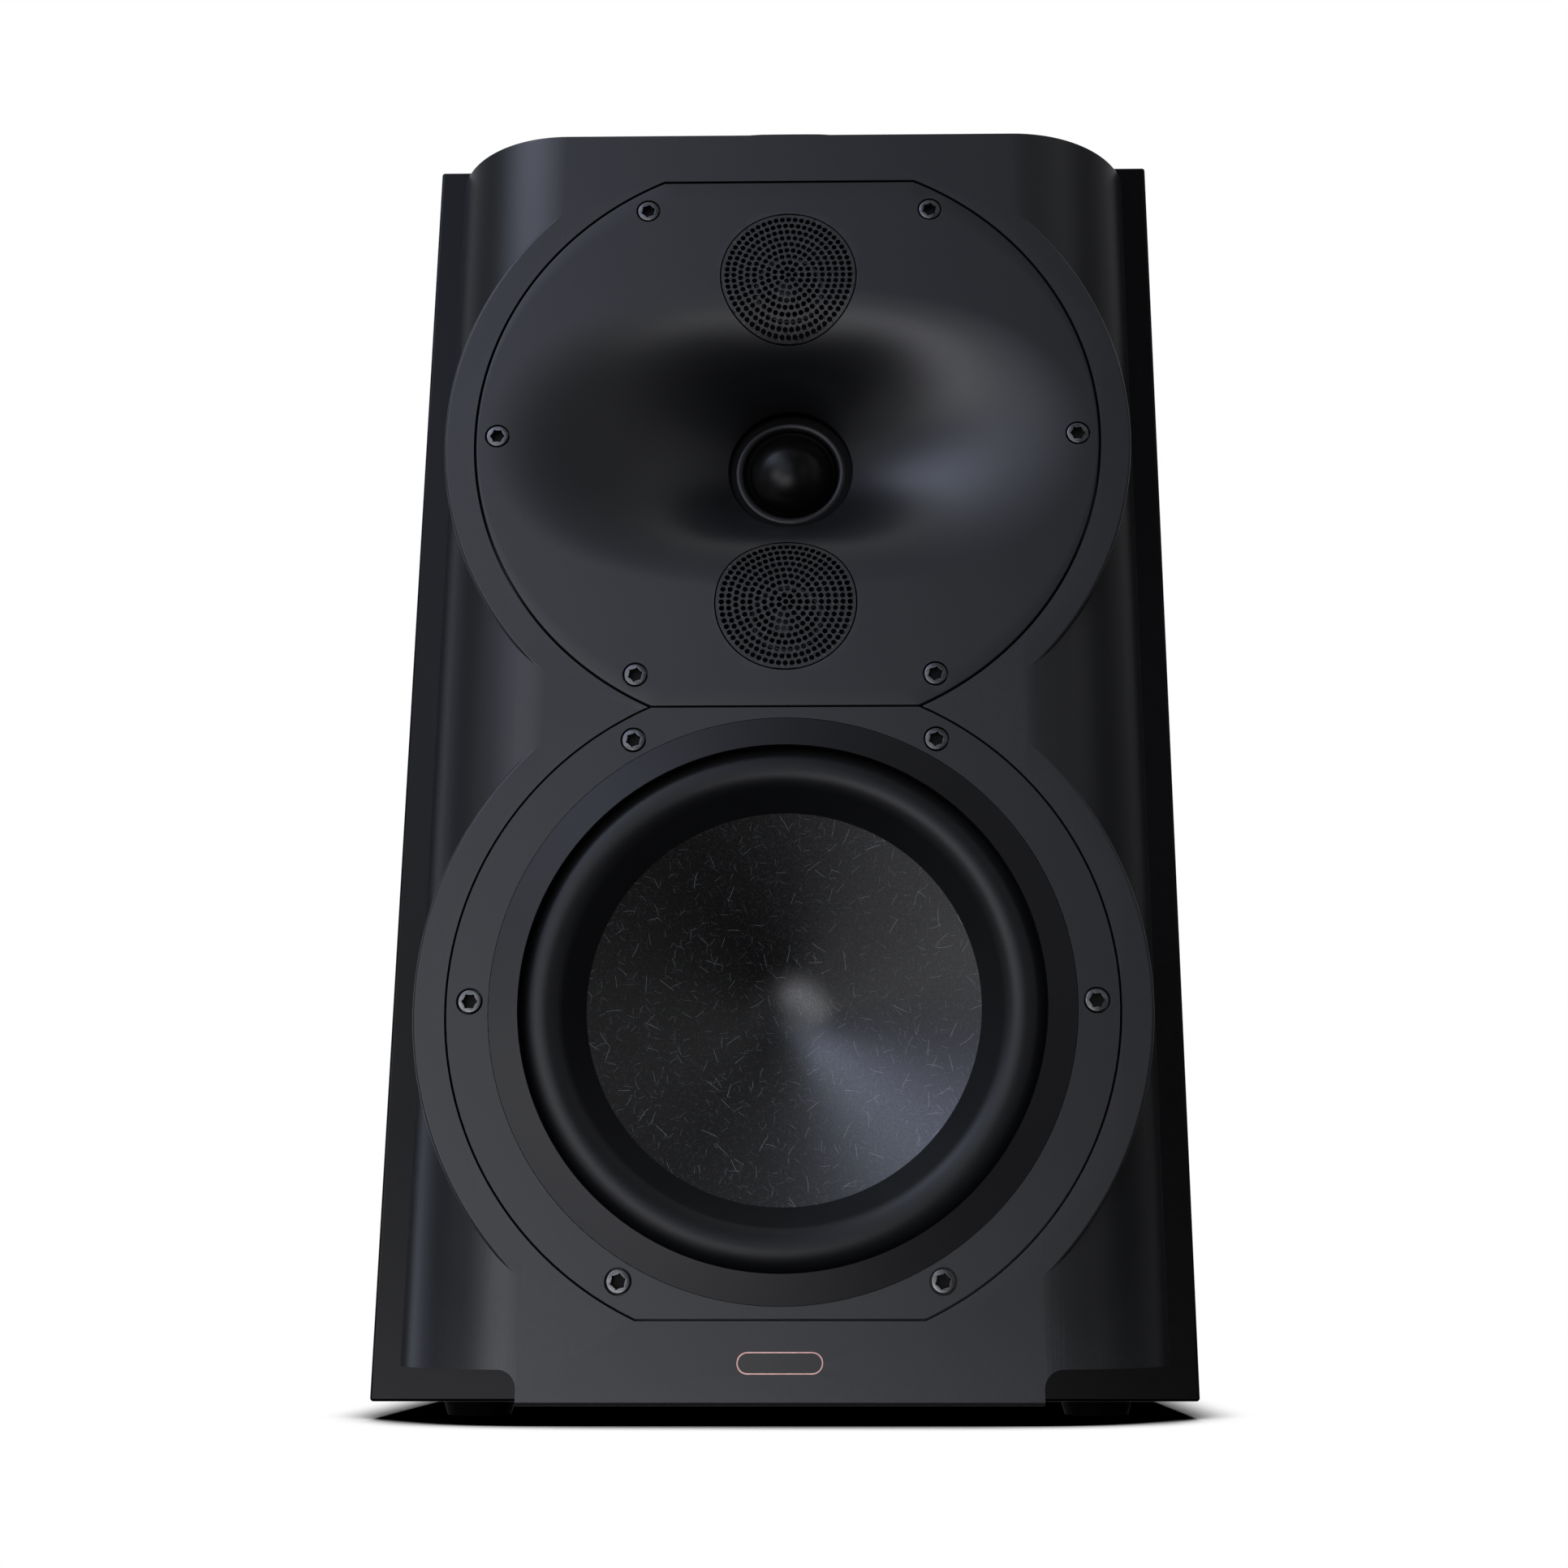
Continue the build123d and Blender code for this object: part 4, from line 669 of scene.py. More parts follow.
def screw_places(centre_z):
    """Middles of a plate's six screw heads."""
    angles = [number * pi / 3 for number in range(6)]
    return [
        Vector((screw_circle * cos(angle), face_y, centre_z + screw_circle * sin(angle)))
        for angle in angles
    ]


for place in screw_places(tweeter_z):
    cut(
        waveguide,
        cylinder("counterbore", counterbore_radius, 2 * counterbore_depth, place, 40),
        cylinder("hole", screw_hole_radius, 2 * through, place, 24),
    )
# Its edges are a little brighter: partly wear, partly a painted highlight.
waveguide_satin = finish(
    "waveguide_satin_paint",
    grain_size=0.3, cloud_size=60.0, rubbed=0.25, **satin_black,
)
settle(waveguide, "cabinet", "waveguide_satin", waveguide_satin, "waveguide_plate")
gasket_foam = finish(
    "gasket_foam", (0.02, 0.02, 0.02), (0.045, 0.045, 0.045), 0.95,
    grain_size=0.25, cloud_size=4.0, relief=0.08,
)
paint(gasket_foam, "waveguide_gasket", "woofer_gasket")

# ---- Plate screws ---------------------------------------------------------------------
# Twelve flush M4 cylinder-head screws of blackened steel, six to a plate. The head's edge
# is turned to a bevel, worn pale and with a painted highlight, and the floor of the
# six-lobe socket is painted near black as the shade deep in it.
head_radius = 3.4 * mm
head_height = 3.3 * mm
socket_circle = 1.75 * mm
socket_bore = 1.95 * mm
lobe_radius = 0.52 * mm
socket_depth = 2.2 * mm
head_bevel = 0.32 * mm
screw_turn = 0.7
screw = cylinder("screw_model", head_radius, head_height, (0, head_height / 2, 0), 48)
to_world = screw.matrix_world
edit(
    screw,
    screw.data.polygons,
    lambda face: len(face.vertices) > 4 and (to_world @ face.center).y < near,
)
bpy.ops.mesh.bevel(offset=head_bevel, segments=3, affect="EDGES")
bpy.ops.object.mode_set(mode="OBJECT")
cut(screw, cylinder("socket", socket_bore, 2 * socket_depth, (0, 0, 0), 36))
for number in range(6):
    turned = number * pi / 3
    lobe = (socket_circle * cos(turned), 0, socket_circle * sin(turned))
    cut(screw, cylinder("lobe", lobe_radius, 2 * socket_depth, lobe, 20))
choose(screw)
bpy.ops.object.transform_apply(location=True, rotation=True, scale=True)
# The pale edge tone on the bevel is partly wear and partly a painted highlight.
blackened = finish(
    "blackened_steel", (0.055, 0.055, 0.056), (0.1, 0.1, 0.102), 0.18,
    roughness_spread=0.08, grain_size=0.25, cloud_size=1.5, relief=0.004, rubbed=0.4,
    rubbed_and_highlight_tone=(0.5, 0.5, 0.5), Metallic=0.9,
)
# Painted shade: the socket's floor is made near black, as the shade deep in the socket.
socket_painted_shade = finish(
    "socket_painted_shade", (0.001, 0.001, 0.001), (0.004, 0.004, 0.004), 0.5,
    roughness_spread=0.2, grain_size=0.2, cloud_size=0.5, relief=0.05, Specular_IOR_Level=0.1,
)
for plate, centre_z in (("waveguide", tweeter_z), ("woofer", woofer_z)):
    for number, place in enumerate(screw_places(centre_z)):
        seated = Matrix.Translation(place) @ Matrix.Rotation(screw_turn * number**2, 4, "Y")
        copy = new_piece(f"{plate}_screw_{number + 1}", screw.data.copy())
        copy.data.transform(seated)
        settle(copy, "cabinet", "dark_screw", blackened, f"{plate}_screws")
        copy.data.materials.append(socket_painted_shade)
        for face in copy.data.polygons:
            from_middle = face.center - place
            inside = hypot(from_middle.x, from_middle.z) < socket_circle + lobe_radius + near / 2
            in_socket = head_bevel + near / 2 < from_middle.y < socket_depth + near
            face.material_index = int(inside and in_socket and abs(face.normal.y) > 0.5)
bpy.data.objects.remove(screw)

# ---- Side tweeters --------------------------------------------------------------------
# A small dome sits behind each grille, tilted towards the main tweeter's axis. The grille
# is sheet steel with 303 punched holes, painted black and pressed to the horn's curve.
grille_depth = 2.5 * mm
side_tilt = radians(6.6)
grille_steel = finish(
    "grille_steel", (0.0055, 0.0055, 0.0058), (0.0075, 0.0075, 0.008), 0.42,
    grain_size=0.2, cloud_size=20.0, relief=0.006, dusty=0.01, Specular_IOR_Level=0.36,
)
sheet = 0.6 * mm
hole_ring_pitch = 2.19 * mm
holes_per_ring = 6.7
drawn_hole = 0.64 * mm
wide_hole = 0.82 * mm
hole_tolerance = 0.03 * mm


def copy_node(name, node):
    """A new piece from a CAD node's mesh, with the points its faces share merged."""
    piece = new_piece(name, frame["nodes"][node].data.copy())
    edit(piece)
    bpy.ops.mesh.remove_doubles(threshold=0.002 * mm)
    bpy.ops.object.mode_set(mode="OBJECT")
    return piece


def widen_holes(x, across):
    """Moves each point on a hole's edge out to a wider hole. The rings' holes are counted
    from both ends of X, because the CAD starts some at either."""
    ring_number = np.round(np.hypot(x, across) / hole_ring_pitch)
    count = np.maximum(np.round(holes_per_ring * ring_number), 1)
    turned = np.arctan2(across, x)
    best = np.full(len(x), 1.0)
    new_x, new_across = x.copy(), across.copy()
    for start in (0, pi):
        nearest = np.round((turned - start) * count / (2 * pi)) * 2 * pi / count + start
        middle_x = ring_number * hole_ring_pitch * np.cos(nearest)
        middle_across = ring_number * hole_ring_pitch * np.sin(nearest)
        away = np.hypot(x - middle_x, across - middle_across)
        on_edge = np.abs(away - drawn_hole)
        better = (on_edge < hole_tolerance) & (on_edge < best)
        best = np.where(better, on_edge, best)
        grow = wide_hole / np.maximum(away, 0.01 * mm)
        new_x = np.where(better, middle_x + (x - middle_x) * grow, new_x)
        new_across = np.where(better, middle_across + (across - middle_across) * grow, new_across)
    return new_x, new_across


for side, node in ((1, "upper_grille"), (-1, "lower_grille")):
    grille = copy_node(f"{node}_pressing", node)
    mesh = grille.data
    points = np.empty(len(mesh.vertices) * 3)
    mesh.vertices.foreach_get("co", points)
    points = points.reshape(-1, 3)
    deep = points[:, 1] - face_y - grille_depth
    outward = side * (points[:, 2] - tweeter_z) - grille_offset
    across = outward * cos(side_tilt) - deep * sin(side_tilt)
    behind = deep * cos(side_tilt) + outward * sin(side_tilt)
    points[:, 0], across = widen_holes(points[:, 0], across)
    behind = np.where(behind > sheet / 2, sheet, 0.0)
    points[:, 2] = tweeter_z + side * (grille_offset + across)
    points[:, 1] = face_y + face_depth(points[:, 0], points[:, 2] - tweeter_z) + behind
    mesh.vertices.foreach_set("co", points.ravel())
    settle(grille, "cabinet", "grille_steel", grille_steel, node, smooth=25.0)

# ---- Main tweeter ---------------------------------------------------------------------
# A 31 mm dome of black anodised foil on a coated cloth roll, which the throat's plastic
# edge surrounds. Behind it are a plastic housing, a magnet and a steel cup. The throat's
# edge and the housing are painted near black, as the shade in the gap round the roll. The
# side tweeters are the same, smaller.
dome_metal = finish(
    "dome_anodised", (0.0016, 0.0016, 0.0016), (0.0022, 0.0022, 0.0021), 0.22,
    grain_size=0.15, cloud_size=12.0, relief=0.004, dusty=0.01, Specular_IOR_Level=0.13,
)
roll_cloth = finish(
    "roll_coated_cloth", (0.0045, 0.0045, 0.0047), (0.0075, 0.0075, 0.0078), 0.35,
    grain_size=0.12, cloud_size=8.0, dusty=0.01, Specular_IOR_Level=0.26,
)
# Painted shade: the housing plastic is near black with little shine, as the shade in the gap round
# the roll.
housing_plastic_painted_shade = finish(
    "housing_plastic_painted_shade", (0.0008, 0.0008, 0.0008), (0.0014, 0.0014, 0.0014), 0.55,
    grain_size=0.3, cloud_size=10.0, dusty=0.0, Specular_IOR_Level=0.06,
)
motor_steel = finish(
    "motor_steel", (0.36, 0.36, 0.37), (0.5, 0.5, 0.5), 0.4,
    roughness_spread=0.1, grain_size=0.2, cloud_size=10.0, Metallic=1.0,
)
ferrite = finish(
    "magnet_ferrite", (0.04, 0.04, 0.042), (0.07, 0.07, 0.07), 0.6,
    grain_size=0.6, cloud_size=8.0, relief=0.03,
)


def spun(name, profile, centre_z, steps, closed=True):
    """Solid of revolution about a line along Y. The profile's points are a radius and a
    depth behind the plates' face."""
    count = len(profile)
    points = [(radius, face_y + depth, centre_z) for radius, depth in profile]
    edges = [(number, (number + 1) % count) for number in range(count if closed else count - 1)]
    mesh = bpy.data.meshes.new(name)
    mesh.from_pydata(points, edges, [])
    piece = new_piece(name, mesh)
    edit(piece)
    bpy.ops.mesh.spin(
        steps=steps, angle=2 * pi, center=(0, face_y, centre_z), axis=(0, 1, 0), dupli=False
    )
    close_up(0.005 * mm)
    return piece


def arc(centre_radius, centre_depth, radius, start, end, steps):
    """Points of an arc. Angles are in degrees, 90 at the front."""
    return [
        (
            centre_radius + radius * cos(radians(angle)),
            centre_depth - radius * sin(radians(angle)),
        )
        for angle in np.linspace(start, end, steps)
    ]


dome_edge = 15.4 * mm
dome_edge_depth = 31.2 * mm
dome_rise = 9.2 * mm
foil = 0.35 * mm
dome_sphere = (dome_edge**2 + dome_rise**2) / (2 * dome_rise)
dome_reach = np.degrees(np.arcsin(dome_edge / dome_sphere))
dome_middle = dome_edge_depth - dome_rise + dome_sphere
inner_reach = 0.9 * dome_reach - 1
coil_tube_radius = 13.8 * mm
coil_tube_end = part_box("main_dome")[1].y - face_y
dome = spun(
    "dome_shell",
    [
        *arc(0, dome_middle, dome_sphere, 90, 90 - dome_reach, 28),
        (dome_edge, dome_edge_depth + foil),
        (coil_tube_radius, dome_edge_depth + foil),
        (coil_tube_radius, coil_tube_end),
        (coil_tube_radius - foil, coil_tube_end),
        *arc(0, dome_middle, dome_sphere - foil, 90 - inner_reach, 90, 20),
    ],
    tweeter_z,
    128,
    closed=False,
)
settle(dome, "main_dome", "dome_metal", dome_metal, "main_dome")
roll_crest = 17.0 * mm
roll_half = 1.7 * mm
roll_middle = 31.0 * mm
roll_sheet = 0.3 * mm
roll_end_angle = 62
roll = spun(
    "dome_roll",
    [
        *arc(roll_crest, roll_middle, roll_half, 180, roll_end_angle, 20),
        *arc(roll_crest, roll_middle, roll_half - roll_sheet, roll_end_angle, 180, 20),
    ],
    tweeter_z,
    128,
)
settle(roll, None, "roll_fabric", roll_cloth, "main_dome_roll")
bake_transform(roll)
for side, name in ((1, "upper"), (-1, "lower")):
    roll = copy_node(f"{name}_roll", f"{name}_dome_roll")
    middle = sum(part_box(f"{name}_dome_roll"), Vector()) / 2
    settle(roll, None, "roll_fabric", roll_cloth, f"{name}_dome_roll")
    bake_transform(roll)
paint(dome_metal, "upper_dome", "lower_dome")
paint(housing_plastic_painted_shade, "main_tweeter_housing", "small_tweeter_housings")
# Painted shade: the throat's edge within this radius takes the near-black housing plastic.
waveguide.data.materials.append(housing_plastic_painted_shade)
for face in waveguide.data.polygons:
    in_throat = hypot(face.center.x, face.center.z - tweeter_z) < painted_shade_edge
    face.material_index = int(in_throat and face.center.y > face_y + throat_depth / 2)
paint(motor_steel, "main_motor_cup", "small_motor_cups", "top_plate", "yoke")
paint(ferrite, "main_tweeter_magnet", "small_tweeter_magnets", "woofer_magnet")

# ---- Woofer frame and trim ring -------------------------------------------------------
# The die-cast aluminium frame is sprayed the same satin black as the baffle. A plastic
# ring clips over the surround's glued lip, and stands out furthest at its inner edge.
frame_satin = finish("frame_satin_paint", grain_size=0.3, cloud_size=60.0, **satin_black)
trim_satin = finish(
    "trim_satin_plastic", (0.0036, 0.0036, 0.0039), (0.0046, 0.0046, 0.0049), 0.34,
    roughness_spread=0.04, grain_size=0.25, cloud_size=50.0, relief=0.008, dusty=0.012,
    Specular_IOR_Level=0.24,
)
paint(frame_satin, "woofer_frame")
paint(trim_satin, "woofer_trim_ring")

# ---- Surround -------------------------------------------------------------------------
# A half roll of moulded butyl rubber, 1 mm thick. Its outer lip is glued under the trim
# ring and its inner foot onto the front of the cone's rim.
surround_crest = 70.0 * mm
surround_roll = 9.3 * mm
surround_depth = 9.2 * mm
crest_curve = 8.2 * mm
flank_angle = radians(50)
foot_radius = 57.8 * mm
foot_depth = surround_depth + 0.7 * mm
rubber_thickness = 1.0 * mm
rubber_lip_depth = 3.5 * mm
lip_edge = 84.9 * mm


def half_roll(skin, end):
    """Points over the roll from its inner foot to its outer flank, which ends at an angle
    in degrees. They lie a skin's depth in. The inner flank is straight below the crest."""
    front_depth = surround_depth - surround_roll + crest_curve
    bend = crest_curve - skin
    points = [(foot_radius + skin / sin(flank_angle), foot_depth)]
    for angle in np.linspace(flank_angle, 0, 20):
        points.append((surround_crest - bend * sin(angle), front_depth - bend * cos(angle)))
    for angle in np.radians(np.linspace(90, end, 24))[1:]:
        bend = surround_roll - skin
        points.append((surround_crest + bend * cos(angle), surround_depth - bend * sin(angle)))
    return points


above_lip = surround_depth - rubber_lip_depth
front_end, back_end = (
    np.degrees(np.arcsin((above_lip - skin) / (surround_roll - skin)))
    for skin in (0, rubber_thickness)
)
surround = spun(
    "rubber_surround",
    [
        *half_roll(0, front_end),
        (lip_edge, rubber_lip_depth),
        (lip_edge, rubber_lip_depth + rubber_thickness),
        *half_roll(rubber_thickness, back_end)[::-1],
    ],
    woofer_z,
    192,
)
surround_rubber = finish(
    "surround_rubber", (0.0055, 0.0056, 0.006), (0.007, 0.0072, 0.0076), 0.36,
    roughness_spread=0.04, grain_size=0.3, cloud_size=30.0, relief=0.006, dusty=0.02,
    Specular_IOR_Level=0.22,
)
settle(surround, None, "surround_rubber", surround_rubber, "woofer_surround", smooth=40.0)
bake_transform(surround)

# ---- Cone and coil --------------------------------------------------------------------
# Pressed paper pulp, dyed black, with pale fibres that the dye left. It runs through to
# a rounded middle without a dust cap, and its former and copper winding are glued behind.
# Two tinsel leads run to it from the terminals on the frame.
fibres, into, out = make_group(
    "fibres",
    {"Spacing": 5 * mm, "Length": 0.4, "Width": 0.02, "Share": 0.5, "Shift": 0.0},
    ["Mask"],
)
place = add(fibres, "ShaderNodeTexCoord").outputs["Object"]
axes = add(fibres, "ShaderNodeSeparateXYZ", {0: place}).outputs
in_cells = {}
for number, axis in enumerate(("X", "Z")):
    scaled = math(fibres, "DIVIDE", axes[axis], into.outputs["Spacing"])
    in_cells[number] = math(fibres, "ADD", scaled, into.outputs["Shift"])
flat = add(fibres, "ShaderNodeCombineXYZ", in_cells).outputs[0]
cell = {"Vector": flat, "Scale": 1.0}
cells = add(fibres, "ShaderNodeTexVoronoi", cell, voronoi_dimensions="2D").outputs
from_middle = {0: flat, 1: cells["Position"]}
local = add(fibres, "ShaderNodeVectorMath", from_middle, operation="SUBTRACT").outputs[0]
chance = add(fibres, "ShaderNodeSeparateColor", {0: cells["Color"]}).outputs
spin = {"Vector": local, "Angle": math(fibres, "MULTIPLY", chance["Red"], 2 * pi)}
turned = add(fibres, "ShaderNodeVectorRotate", spin, rotation_type="Z_AXIS").outputs[0]
along = add(fibres, "ShaderNodeSeparateXYZ", {0: turned}).outputs
most_bow = 0.7
bow = math(fibres, "MULTIPLY", math(fibres, "SUBTRACT", chance["Green"], 0.5), most_bow)
bowed = math(fibres, "MULTIPLY", math(fibres, "MULTIPLY", along["X"], along["X"]), bow)
aside = math(fibres, "ABSOLUTE", math(fibres, "ADD", along["Y"], bowed))
thin = math(fibres, "DIVIDE", aside, into.outputs["Width"])
reach = math(fibres, "DIVIDE", math(fibres, "ABSOLUTE", along["X"]), into.outputs["Length"])
near_line = spread(fibres, thin, 0.4, 1.0, 1.0, 0.0)
before_end = spread(fibres, reach, 0.7, 1.0, 1.0, 0.0)
line = math(fibres, "MULTIPLY", near_line, before_end)
present = math(fibres, "LESS_THAN", chance["Blue"], into.outputs["Share"])
fibres.links.new(math(fibres, "MULTIPLY", line, present), out.inputs["Mask"])

cone_pulp = finish(
    "cone_pulp", (0.0004, 0.0005, 0.0006), (0.001, 0.0011, 0.0012), 0.29,
    grain_size=0.45, cloud_size=9.0, relief=0.02, dusty=0.01, Specular_IOR_Level=0.46,
)
tree = cone_pulp.node_tree
shader = tree.nodes["Principled BSDF"]
tone = shader.inputs["Base Color"].links[0].from_socket
fibre_grey = (0.17, 0.175, 0.18, 1)
# Layers of fibres, fine to coarse. Spacing is in millimetres and the rest in spacings,
# save the share of cells that hold a fibre and how strongly it shows.
for spacing, length, width, share, shift, shown in (
    (0.4, 0.35, 0.35, 0.1, 21.1, 0.14),
    (0.9, 0.42, 0.06, 0.3, 5.9, 0.2),
    (1.7, 0.45, 0.03, 0.35, 3.7, 0.35),
    (3.0, 0.42, 0.018, 0.35, 7.3, 0.7),
    (4.7, 0.42, 0.012, 0.25, 17.9, 1.0),
    (7.0, 0.4, 0.01, 0.3, 13.7, 1.0),
):
    layer = dict(Spacing=spacing * mm, Length=length, Width=width, Share=share, Shift=shift)
    hair = use(tree, fibres, **layer)["Mask"]
    tone = mix(tree, math(tree, "MULTIPLY", hair, shown), tone, fibre_grey)
tree.links.new(tone, shader.inputs["Base Color"])
cone_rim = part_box("woofer_cone")
rim_radius = cone_rim[1].x
rim_depth = cone_rim[0].y - face_y
flank_slope = 0.46
dish_radius = 16.0 * mm
paper = 1.0 * mm
dish_edge = rim_depth + (rim_radius - dish_radius) * flank_slope
dish_curve = flank_slope / (2 * dish_radius)
front = [
    (radius, rim_depth + (rim_radius - radius) * flank_slope)
    for radius in np.linspace(rim_radius, dish_radius, 12)
]
front += [
    (radius, dish_edge + dish_curve * (dish_radius**2 - radius**2))
    for radius in np.linspace(dish_radius, 0, 16)[1:]
]
back = [(radius, depth + paper) for radius, depth in reversed(front)]
cone = spun("pulp_cone", [*back, *front], woofer_z, 192, closed=False)
settle(cone, "woofer_cone", "cone_pulp", cone_pulp, "woofer_cone")
former_aluminium = finish(
    "former_aluminium", (0.6, 0.6, 0.6), (0.7, 0.7, 0.7), 0.35,
    grain_size=0.3, relief=0.004, Metallic=1.0,
)
copper = finish(
    "copper_winding", (0.5, 0.2, 0.09), (0.62, 0.28, 0.13), 0.35,
    grain_size=0.2, cloud_size=5.0, relief=0.02, Metallic=1.0,
)
spider_cloth = finish(
    "spider_cloth", (0.42, 0.3, 0.12), (0.55, 0.42, 0.2), 0.9,
    grain_size=0.3, cloud_size=8.0, relief=0.08,
)
tag_board = finish(
    "tag_board", (0.2, 0.1, 0.04), (0.28, 0.15, 0.07), 0.6,
    grain_size=0.3, cloud_size=5.0,
)
tinsel = finish(
    "tinsel_braid", (0.5, 0.45, 0.38), (0.66, 0.6, 0.52), 0.4,
    grain_size=0.15, cloud_size=1.0, relief=0.05, Metallic=1.0,
)
tube_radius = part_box("coil_former")[1].x
tube_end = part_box("coil_former")[1].y - face_y
tube_wall = 0.5 * mm
tube_start = rim_depth + (rim_radius - tube_radius) * flank_slope + paper / 2
former = spun(
    "coil_tube",
    [
        (tube_radius - tube_wall, tube_start),
        (tube_radius, tube_start),
        (tube_radius, tube_end),
        (tube_radius - tube_wall, tube_end),
    ],
    woofer_z,
    96,
)
settle(former, "woofer_cone", "former_aluminium", former_aluminium, "coil_former")
paint(copper, "voice_coil")
paint(spider_cloth, "spider")
paint(tag_board, "woofer_terminals")
lead_drop = 5.2 * mm
lead_curve = 0.8
lead_clear_radius = 60.0 * mm
leads = copy_node("tinsel_cords", "tinsel_leads")
for vertex in leads.data.vertices:
    short = (lead_clear_radius - (vertex.co.z - woofer_z)) / (lead_clear_radius - tube_radius)
    vertex.co.y += lead_drop * min(max(short, 0.0), 1.0) ** lead_curve
settle(leads, "cabinet", "tinsel", tinsel, "tinsel_leads")

# ---- Crossover ------------------------------------------------------------------------
# A tinned circuit board on nylon standoffs carries two air-cored copper coils, three film
# capacitors and three ceramic resistors. Sleeved leads run from it to each driver.
board_green = finish(
    "circuit_board", (0.012, 0.06, 0.03), (0.02, 0.085, 0.042), 0.4,
    cloud_size=9.0, Coat_Weight=0.3,
)
nylon = finish("standoff_nylon", (0.62, 0.6, 0.55), (0.72, 0.7, 0.65), 0.5)
sleeve = finish("capacitor_sleeve", (0.02, 0.05, 0.18), (0.03, 0.07, 0.24), 0.35)
ceramic = finish(
    "resistor_ceramic", (0.6, 0.58, 0.52), (0.72, 0.7, 0.64), 0.85,
    grain_size=0.35, relief=0.03,
)
lead_sleeve = finish(
    "lead_sleeve", (0.015, 0.015, 0.015), (0.03, 0.03, 0.03), 0.5,
    grain_size=0.3, relief=0.02,
)
paint(board_green, "crossover_board")
paint(nylon, "board_standoffs")
paint(sleeve, "crossover_capacitors")
paint(ceramic, "crossover_resistors")
paint(lead_sleeve, "input_leads", "woofer_leads", "tweeter_leads")
paint(copper, "crossover_inductors")

# ---- Terminals ------------------------------------------------------------------------
# A moulded black plate, screwed to the back over two holes, carries two gold-plated
# binding posts. Their ribbed caps, red and black, screw down on captive washers.
terminal_moulding = finish(
    "terminal_moulding", (0.014, 0.014, 0.014), (0.022, 0.022, 0.022), 0.5,
    grain_size=0.5, cloud_size=15.0, relief=0.03, rubbed=0.3,
)
gold = finish(
    "gold_plate", (0.86, 0.58, 0.22), (0.95, 0.68, 0.3), 0.2,
    grain_size=0.25, cloud_size=5.0, relief=0.004, Metallic=1.0,
)
cap_plastic = dict(roughness=0.28, cloud_size=6.0, relief=0.006, rubbed=0.3)
red_plastic = finish("cap_red", (0.36, 0.008, 0.008), (0.45, 0.014, 0.012), **cap_plastic)
black_plastic = finish("cap_black", (0.01, 0.01, 0.01), (0.015, 0.015, 0.015), **cap_plastic)
paint(terminal_moulding, "terminal_plate")
paint(gold, "binding_posts", "post_nuts", "red_washer", "black_washer")
paint(blackened, "terminal_screws")
paint(red_plastic, "red_cap")
paint(black_plastic, "black_cap")

# ---- Floor ----------------------------------------------------------------------------
# A white studio floor. The camera sees it burnt out to white, save for a painted shadow:
# the white fades to black where little open sky reaches it, in the dark gap under the
# cabinet and a narrow contact shadow around it.
bpy.ops.object.select_all(action="DESELECT")
bpy.ops.mesh.primitive_plane_add(size=30.0, location=(0, 0, 0))
floor = bpy.context.active_object
floor.name = "studio_floor"
floor_white = bpy.data.materials.new("studio_floor_white")
floor_white.use_nodes = True
tree = floor_white.node_tree
shader = tree.nodes["Principled BSDF"]
clouds = use(tree, grain, Grain_size=1 * mm, Cloud_size=300 * mm)["Clouds"]
tone = mix(tree, clouds, (0.46, 0.46, 0.46, 1), (0.5, 0.5, 0.5, 1))
tree.links.new(tone, shader.inputs["Base Color"])
shader.inputs["Roughness"].default_value = 0.9
shader.inputs["Specular IOR Level"].default_value = 0.1
open_sky = add(tree, "ShaderNodeAmbientOcclusion", {"Distance": 40 * mm}, samples=32).outputs["AO"]
# Painted shadow: the white that the camera sees fades with ambient occlusion.
outside_painted_shadow = spread(tree, open_sky, 0.45, 0.8, smooth=True)
seen = add(tree, "ShaderNodeEmission", {"Color": (1, 1, 1, 1), "Strength": outside_painted_shadow})


def seen_straight(tree):
    """1 for what the camera sees without a bounce."""
    ray = add(tree, "ShaderNodeLightPath").outputs
    return math(tree, "MAXIMUM", ray["Is Camera Ray"], ray["Is Transmission Ray"])


ways = {0: seen_straight(tree), 1: shader.outputs[0], 2: seen.outputs[0]}
choice = add(tree, "ShaderNodeMixShader", ways)
tree.links.new(choice.outputs[0], tree.nodes["Material Output"].inputs["Surface"])
floor.data.materials.append(floor_white)
floor.visible_glossy = False

# ---- Studio light ---------------------------------------------------------------------
# The camera sees white all round. What lights the object is a dark room with soft round
# patches, most of them in front and to the left. The strongest are level with the camera,
# a cooler group hangs higher, and four behind light the back.
world = bpy.data.worlds.new("studio")
bpy.context.scene.world = world
world.use_nodes = True
tree = world.node_tree
tree.nodes.clear()
direction = add(tree, "ShaderNodeTexCoord").outputs["Generated"]


def glow(azimuth, elevation, spread_angle, strength, tint=(0.985, 0.99, 1.03)):
    """Soft round light far away. Azimuth is to the left of straight ahead of the baffle."""
    a, e = radians(azimuth), radians(elevation)
    aim = {0: direction, 1: (-sin(a) * cos(e), -cos(a) * cos(e), sin(e))}
    facing = add(tree, "ShaderNodeVectorMath", aim, operation="DOT_PRODUCT").outputs["Value"]
    off_axis = math(tree, "SUBTRACT", facing, 1.0)
    falling = math(tree, "MULTIPLY", off_axis, 1 / radians(spread_angle) ** 2)
    share = math(tree, "MULTIPLY", math(tree, "EXPONENT", falling), strength)
    tinted = {0: tint, "Scale": share}
    return add(tree, "ShaderNodeVectorMath", tinted, operation="SCALE").outputs[0]


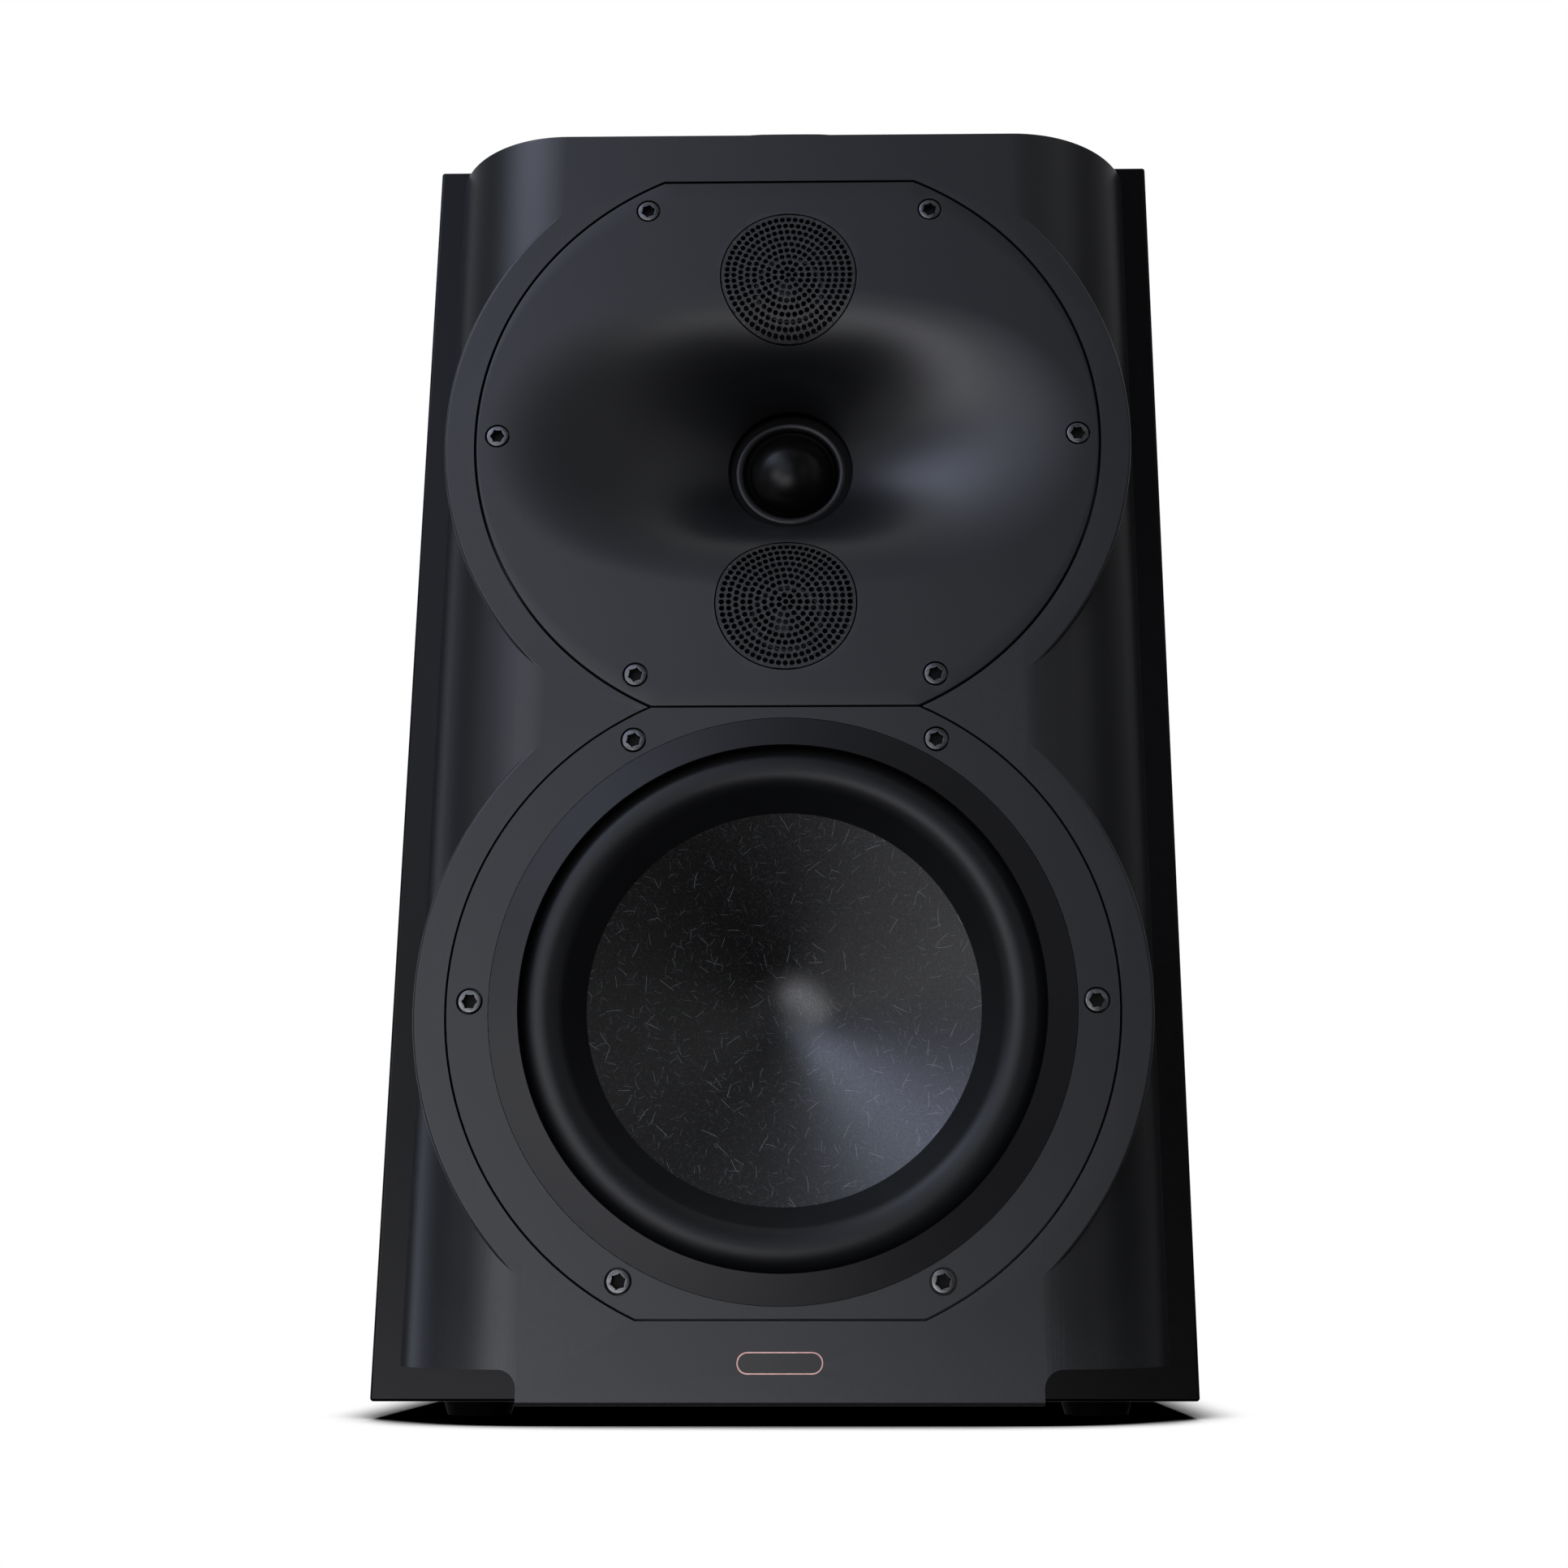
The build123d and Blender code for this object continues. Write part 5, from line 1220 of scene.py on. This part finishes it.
light_patches = (
    (-50, -24, 18, 0.10),
    (-8, -28, 8, 0.12),
    (19, -28, 8, 0.16),
    (43, -28, 8, 0.16),
    (52, -26, 15, 0.38),
    (-26, -12, 8, 0.18),
    (7, -12, 8, 3.14),
    (19, -12, 8, 2.80, (0.95, 0.96, 1.10)),
    (-52, 2, 8, 0.32),
    (-26, 2, 8, 0.33),
    (7, 2, 8, 0.42),
    (31, 2, 8, 4.19),
    (56, 2, 8, 0.27),
    (72, 2, 8, 0.43),
    (-52, 16, 8, 0.34),
    (-26, 16, 8, 0.38),
    (7, 16, 8, 1.21, (0.94, 0.97, 1.10)),
    (19, 16, 8, 0.82, (0.90, 1.01, 1.10)),
    (31, 16, 8, 0.12),
    (56, 16, 8, 0.22),
    (72, 16, 8, 0.27),
    (-52, 30, 8, 0.46),
    (-26, 30, 8, 0.19),
    (19, 30, 8, 1.09, (0.82, 0.88, 1.32)),
    (31, 30, 8, 1.39, (0.92, 0.98, 1.11)),
    (43, 30, 8, 1.66, (0.85, 0.84, 1.33)),
    (56, 30, 8, 0.89, (0.85, 1.02, 1.14)),
    (-52, 45, 8, 0.42),
    (-8, 45, 8, 0.33),
    (19, 45, 8, 0.29),
    (31, 45, 8, 0.10),
    (43, 45, 8, 1.87, (0.80, 0.99, 1.23)),
    (56, 45, 8, 2.85, (0.87, 0.91, 1.24)),
    (-50, 62, 13, 0.16),
    (30, 62, 13, 0.24),
    (60, 62, 13, 0.36),
    (125, -10, 18, 0.80, (0.87, 0.95, 1.19)),
    (-110, 20, 18, 0.12),
    (178, 38, 24, 1.5),
    (166, 4, 16, 0.8),
    (200, 8, 14, 0.5),
    (180, 75, 20, 1.2),
)
room, *others = [glow(*patch) for patch in light_patches]
for light in others:
    room = add(tree, "ShaderNodeVectorMath", {0: room, 1: light}, operation="ADD").outputs[0]
seen = mix(tree, seen_straight(tree), room, (1, 1, 1, 1))
backdrop = add(tree, "ShaderNodeBackground", {"Color": seen, "Strength": 1.0})
ending = add(tree, "ShaderNodeOutputWorld")
tree.links.new(backdrop.outputs[0], ending.inputs["Surface"])

# ---- Camera ---------------------------------------------------------------------------
# A 44 mm lens on a 36 mm sensor, close to the floor and 55 cm in front of the baffle.
# It's tilted up, so the cabinet's sides lean together, and shifted a little sideways.
pitch, yaw, roll = radians(14.644), radians(-0.695), radians(-0.030)
forward = Vector((sin(yaw) * cos(pitch), cos(yaw) * cos(pitch), sin(pitch)))
level = Vector((cos(yaw), -sin(yaw), 0))
upright = level.cross(forward)
right = cos(roll) * level + sin(roll) * upright
above = cos(roll) * upright - sin(roll) * level
lens = bpy.data.cameras.new("camera")
lens.sensor_width = 36.0
lens.lens = 44.056
lens.shift_x = -0.03933
lens.shift_y = 0.00158
lens.clip_start = 0.01
camera = bpy.data.objects.new("camera", lens)
bpy.context.scene.collection.objects.link(camera)
turn = Matrix((right, above, -forward)).transposed().to_4x4()
camera_place = (0.025, -0.7157, 0.03675)
camera.matrix_world = Matrix.Translation(camera_place) @ turn
bpy.context.scene.camera = camera
bpy.context.scene.view_settings.view_transform = "Standard"
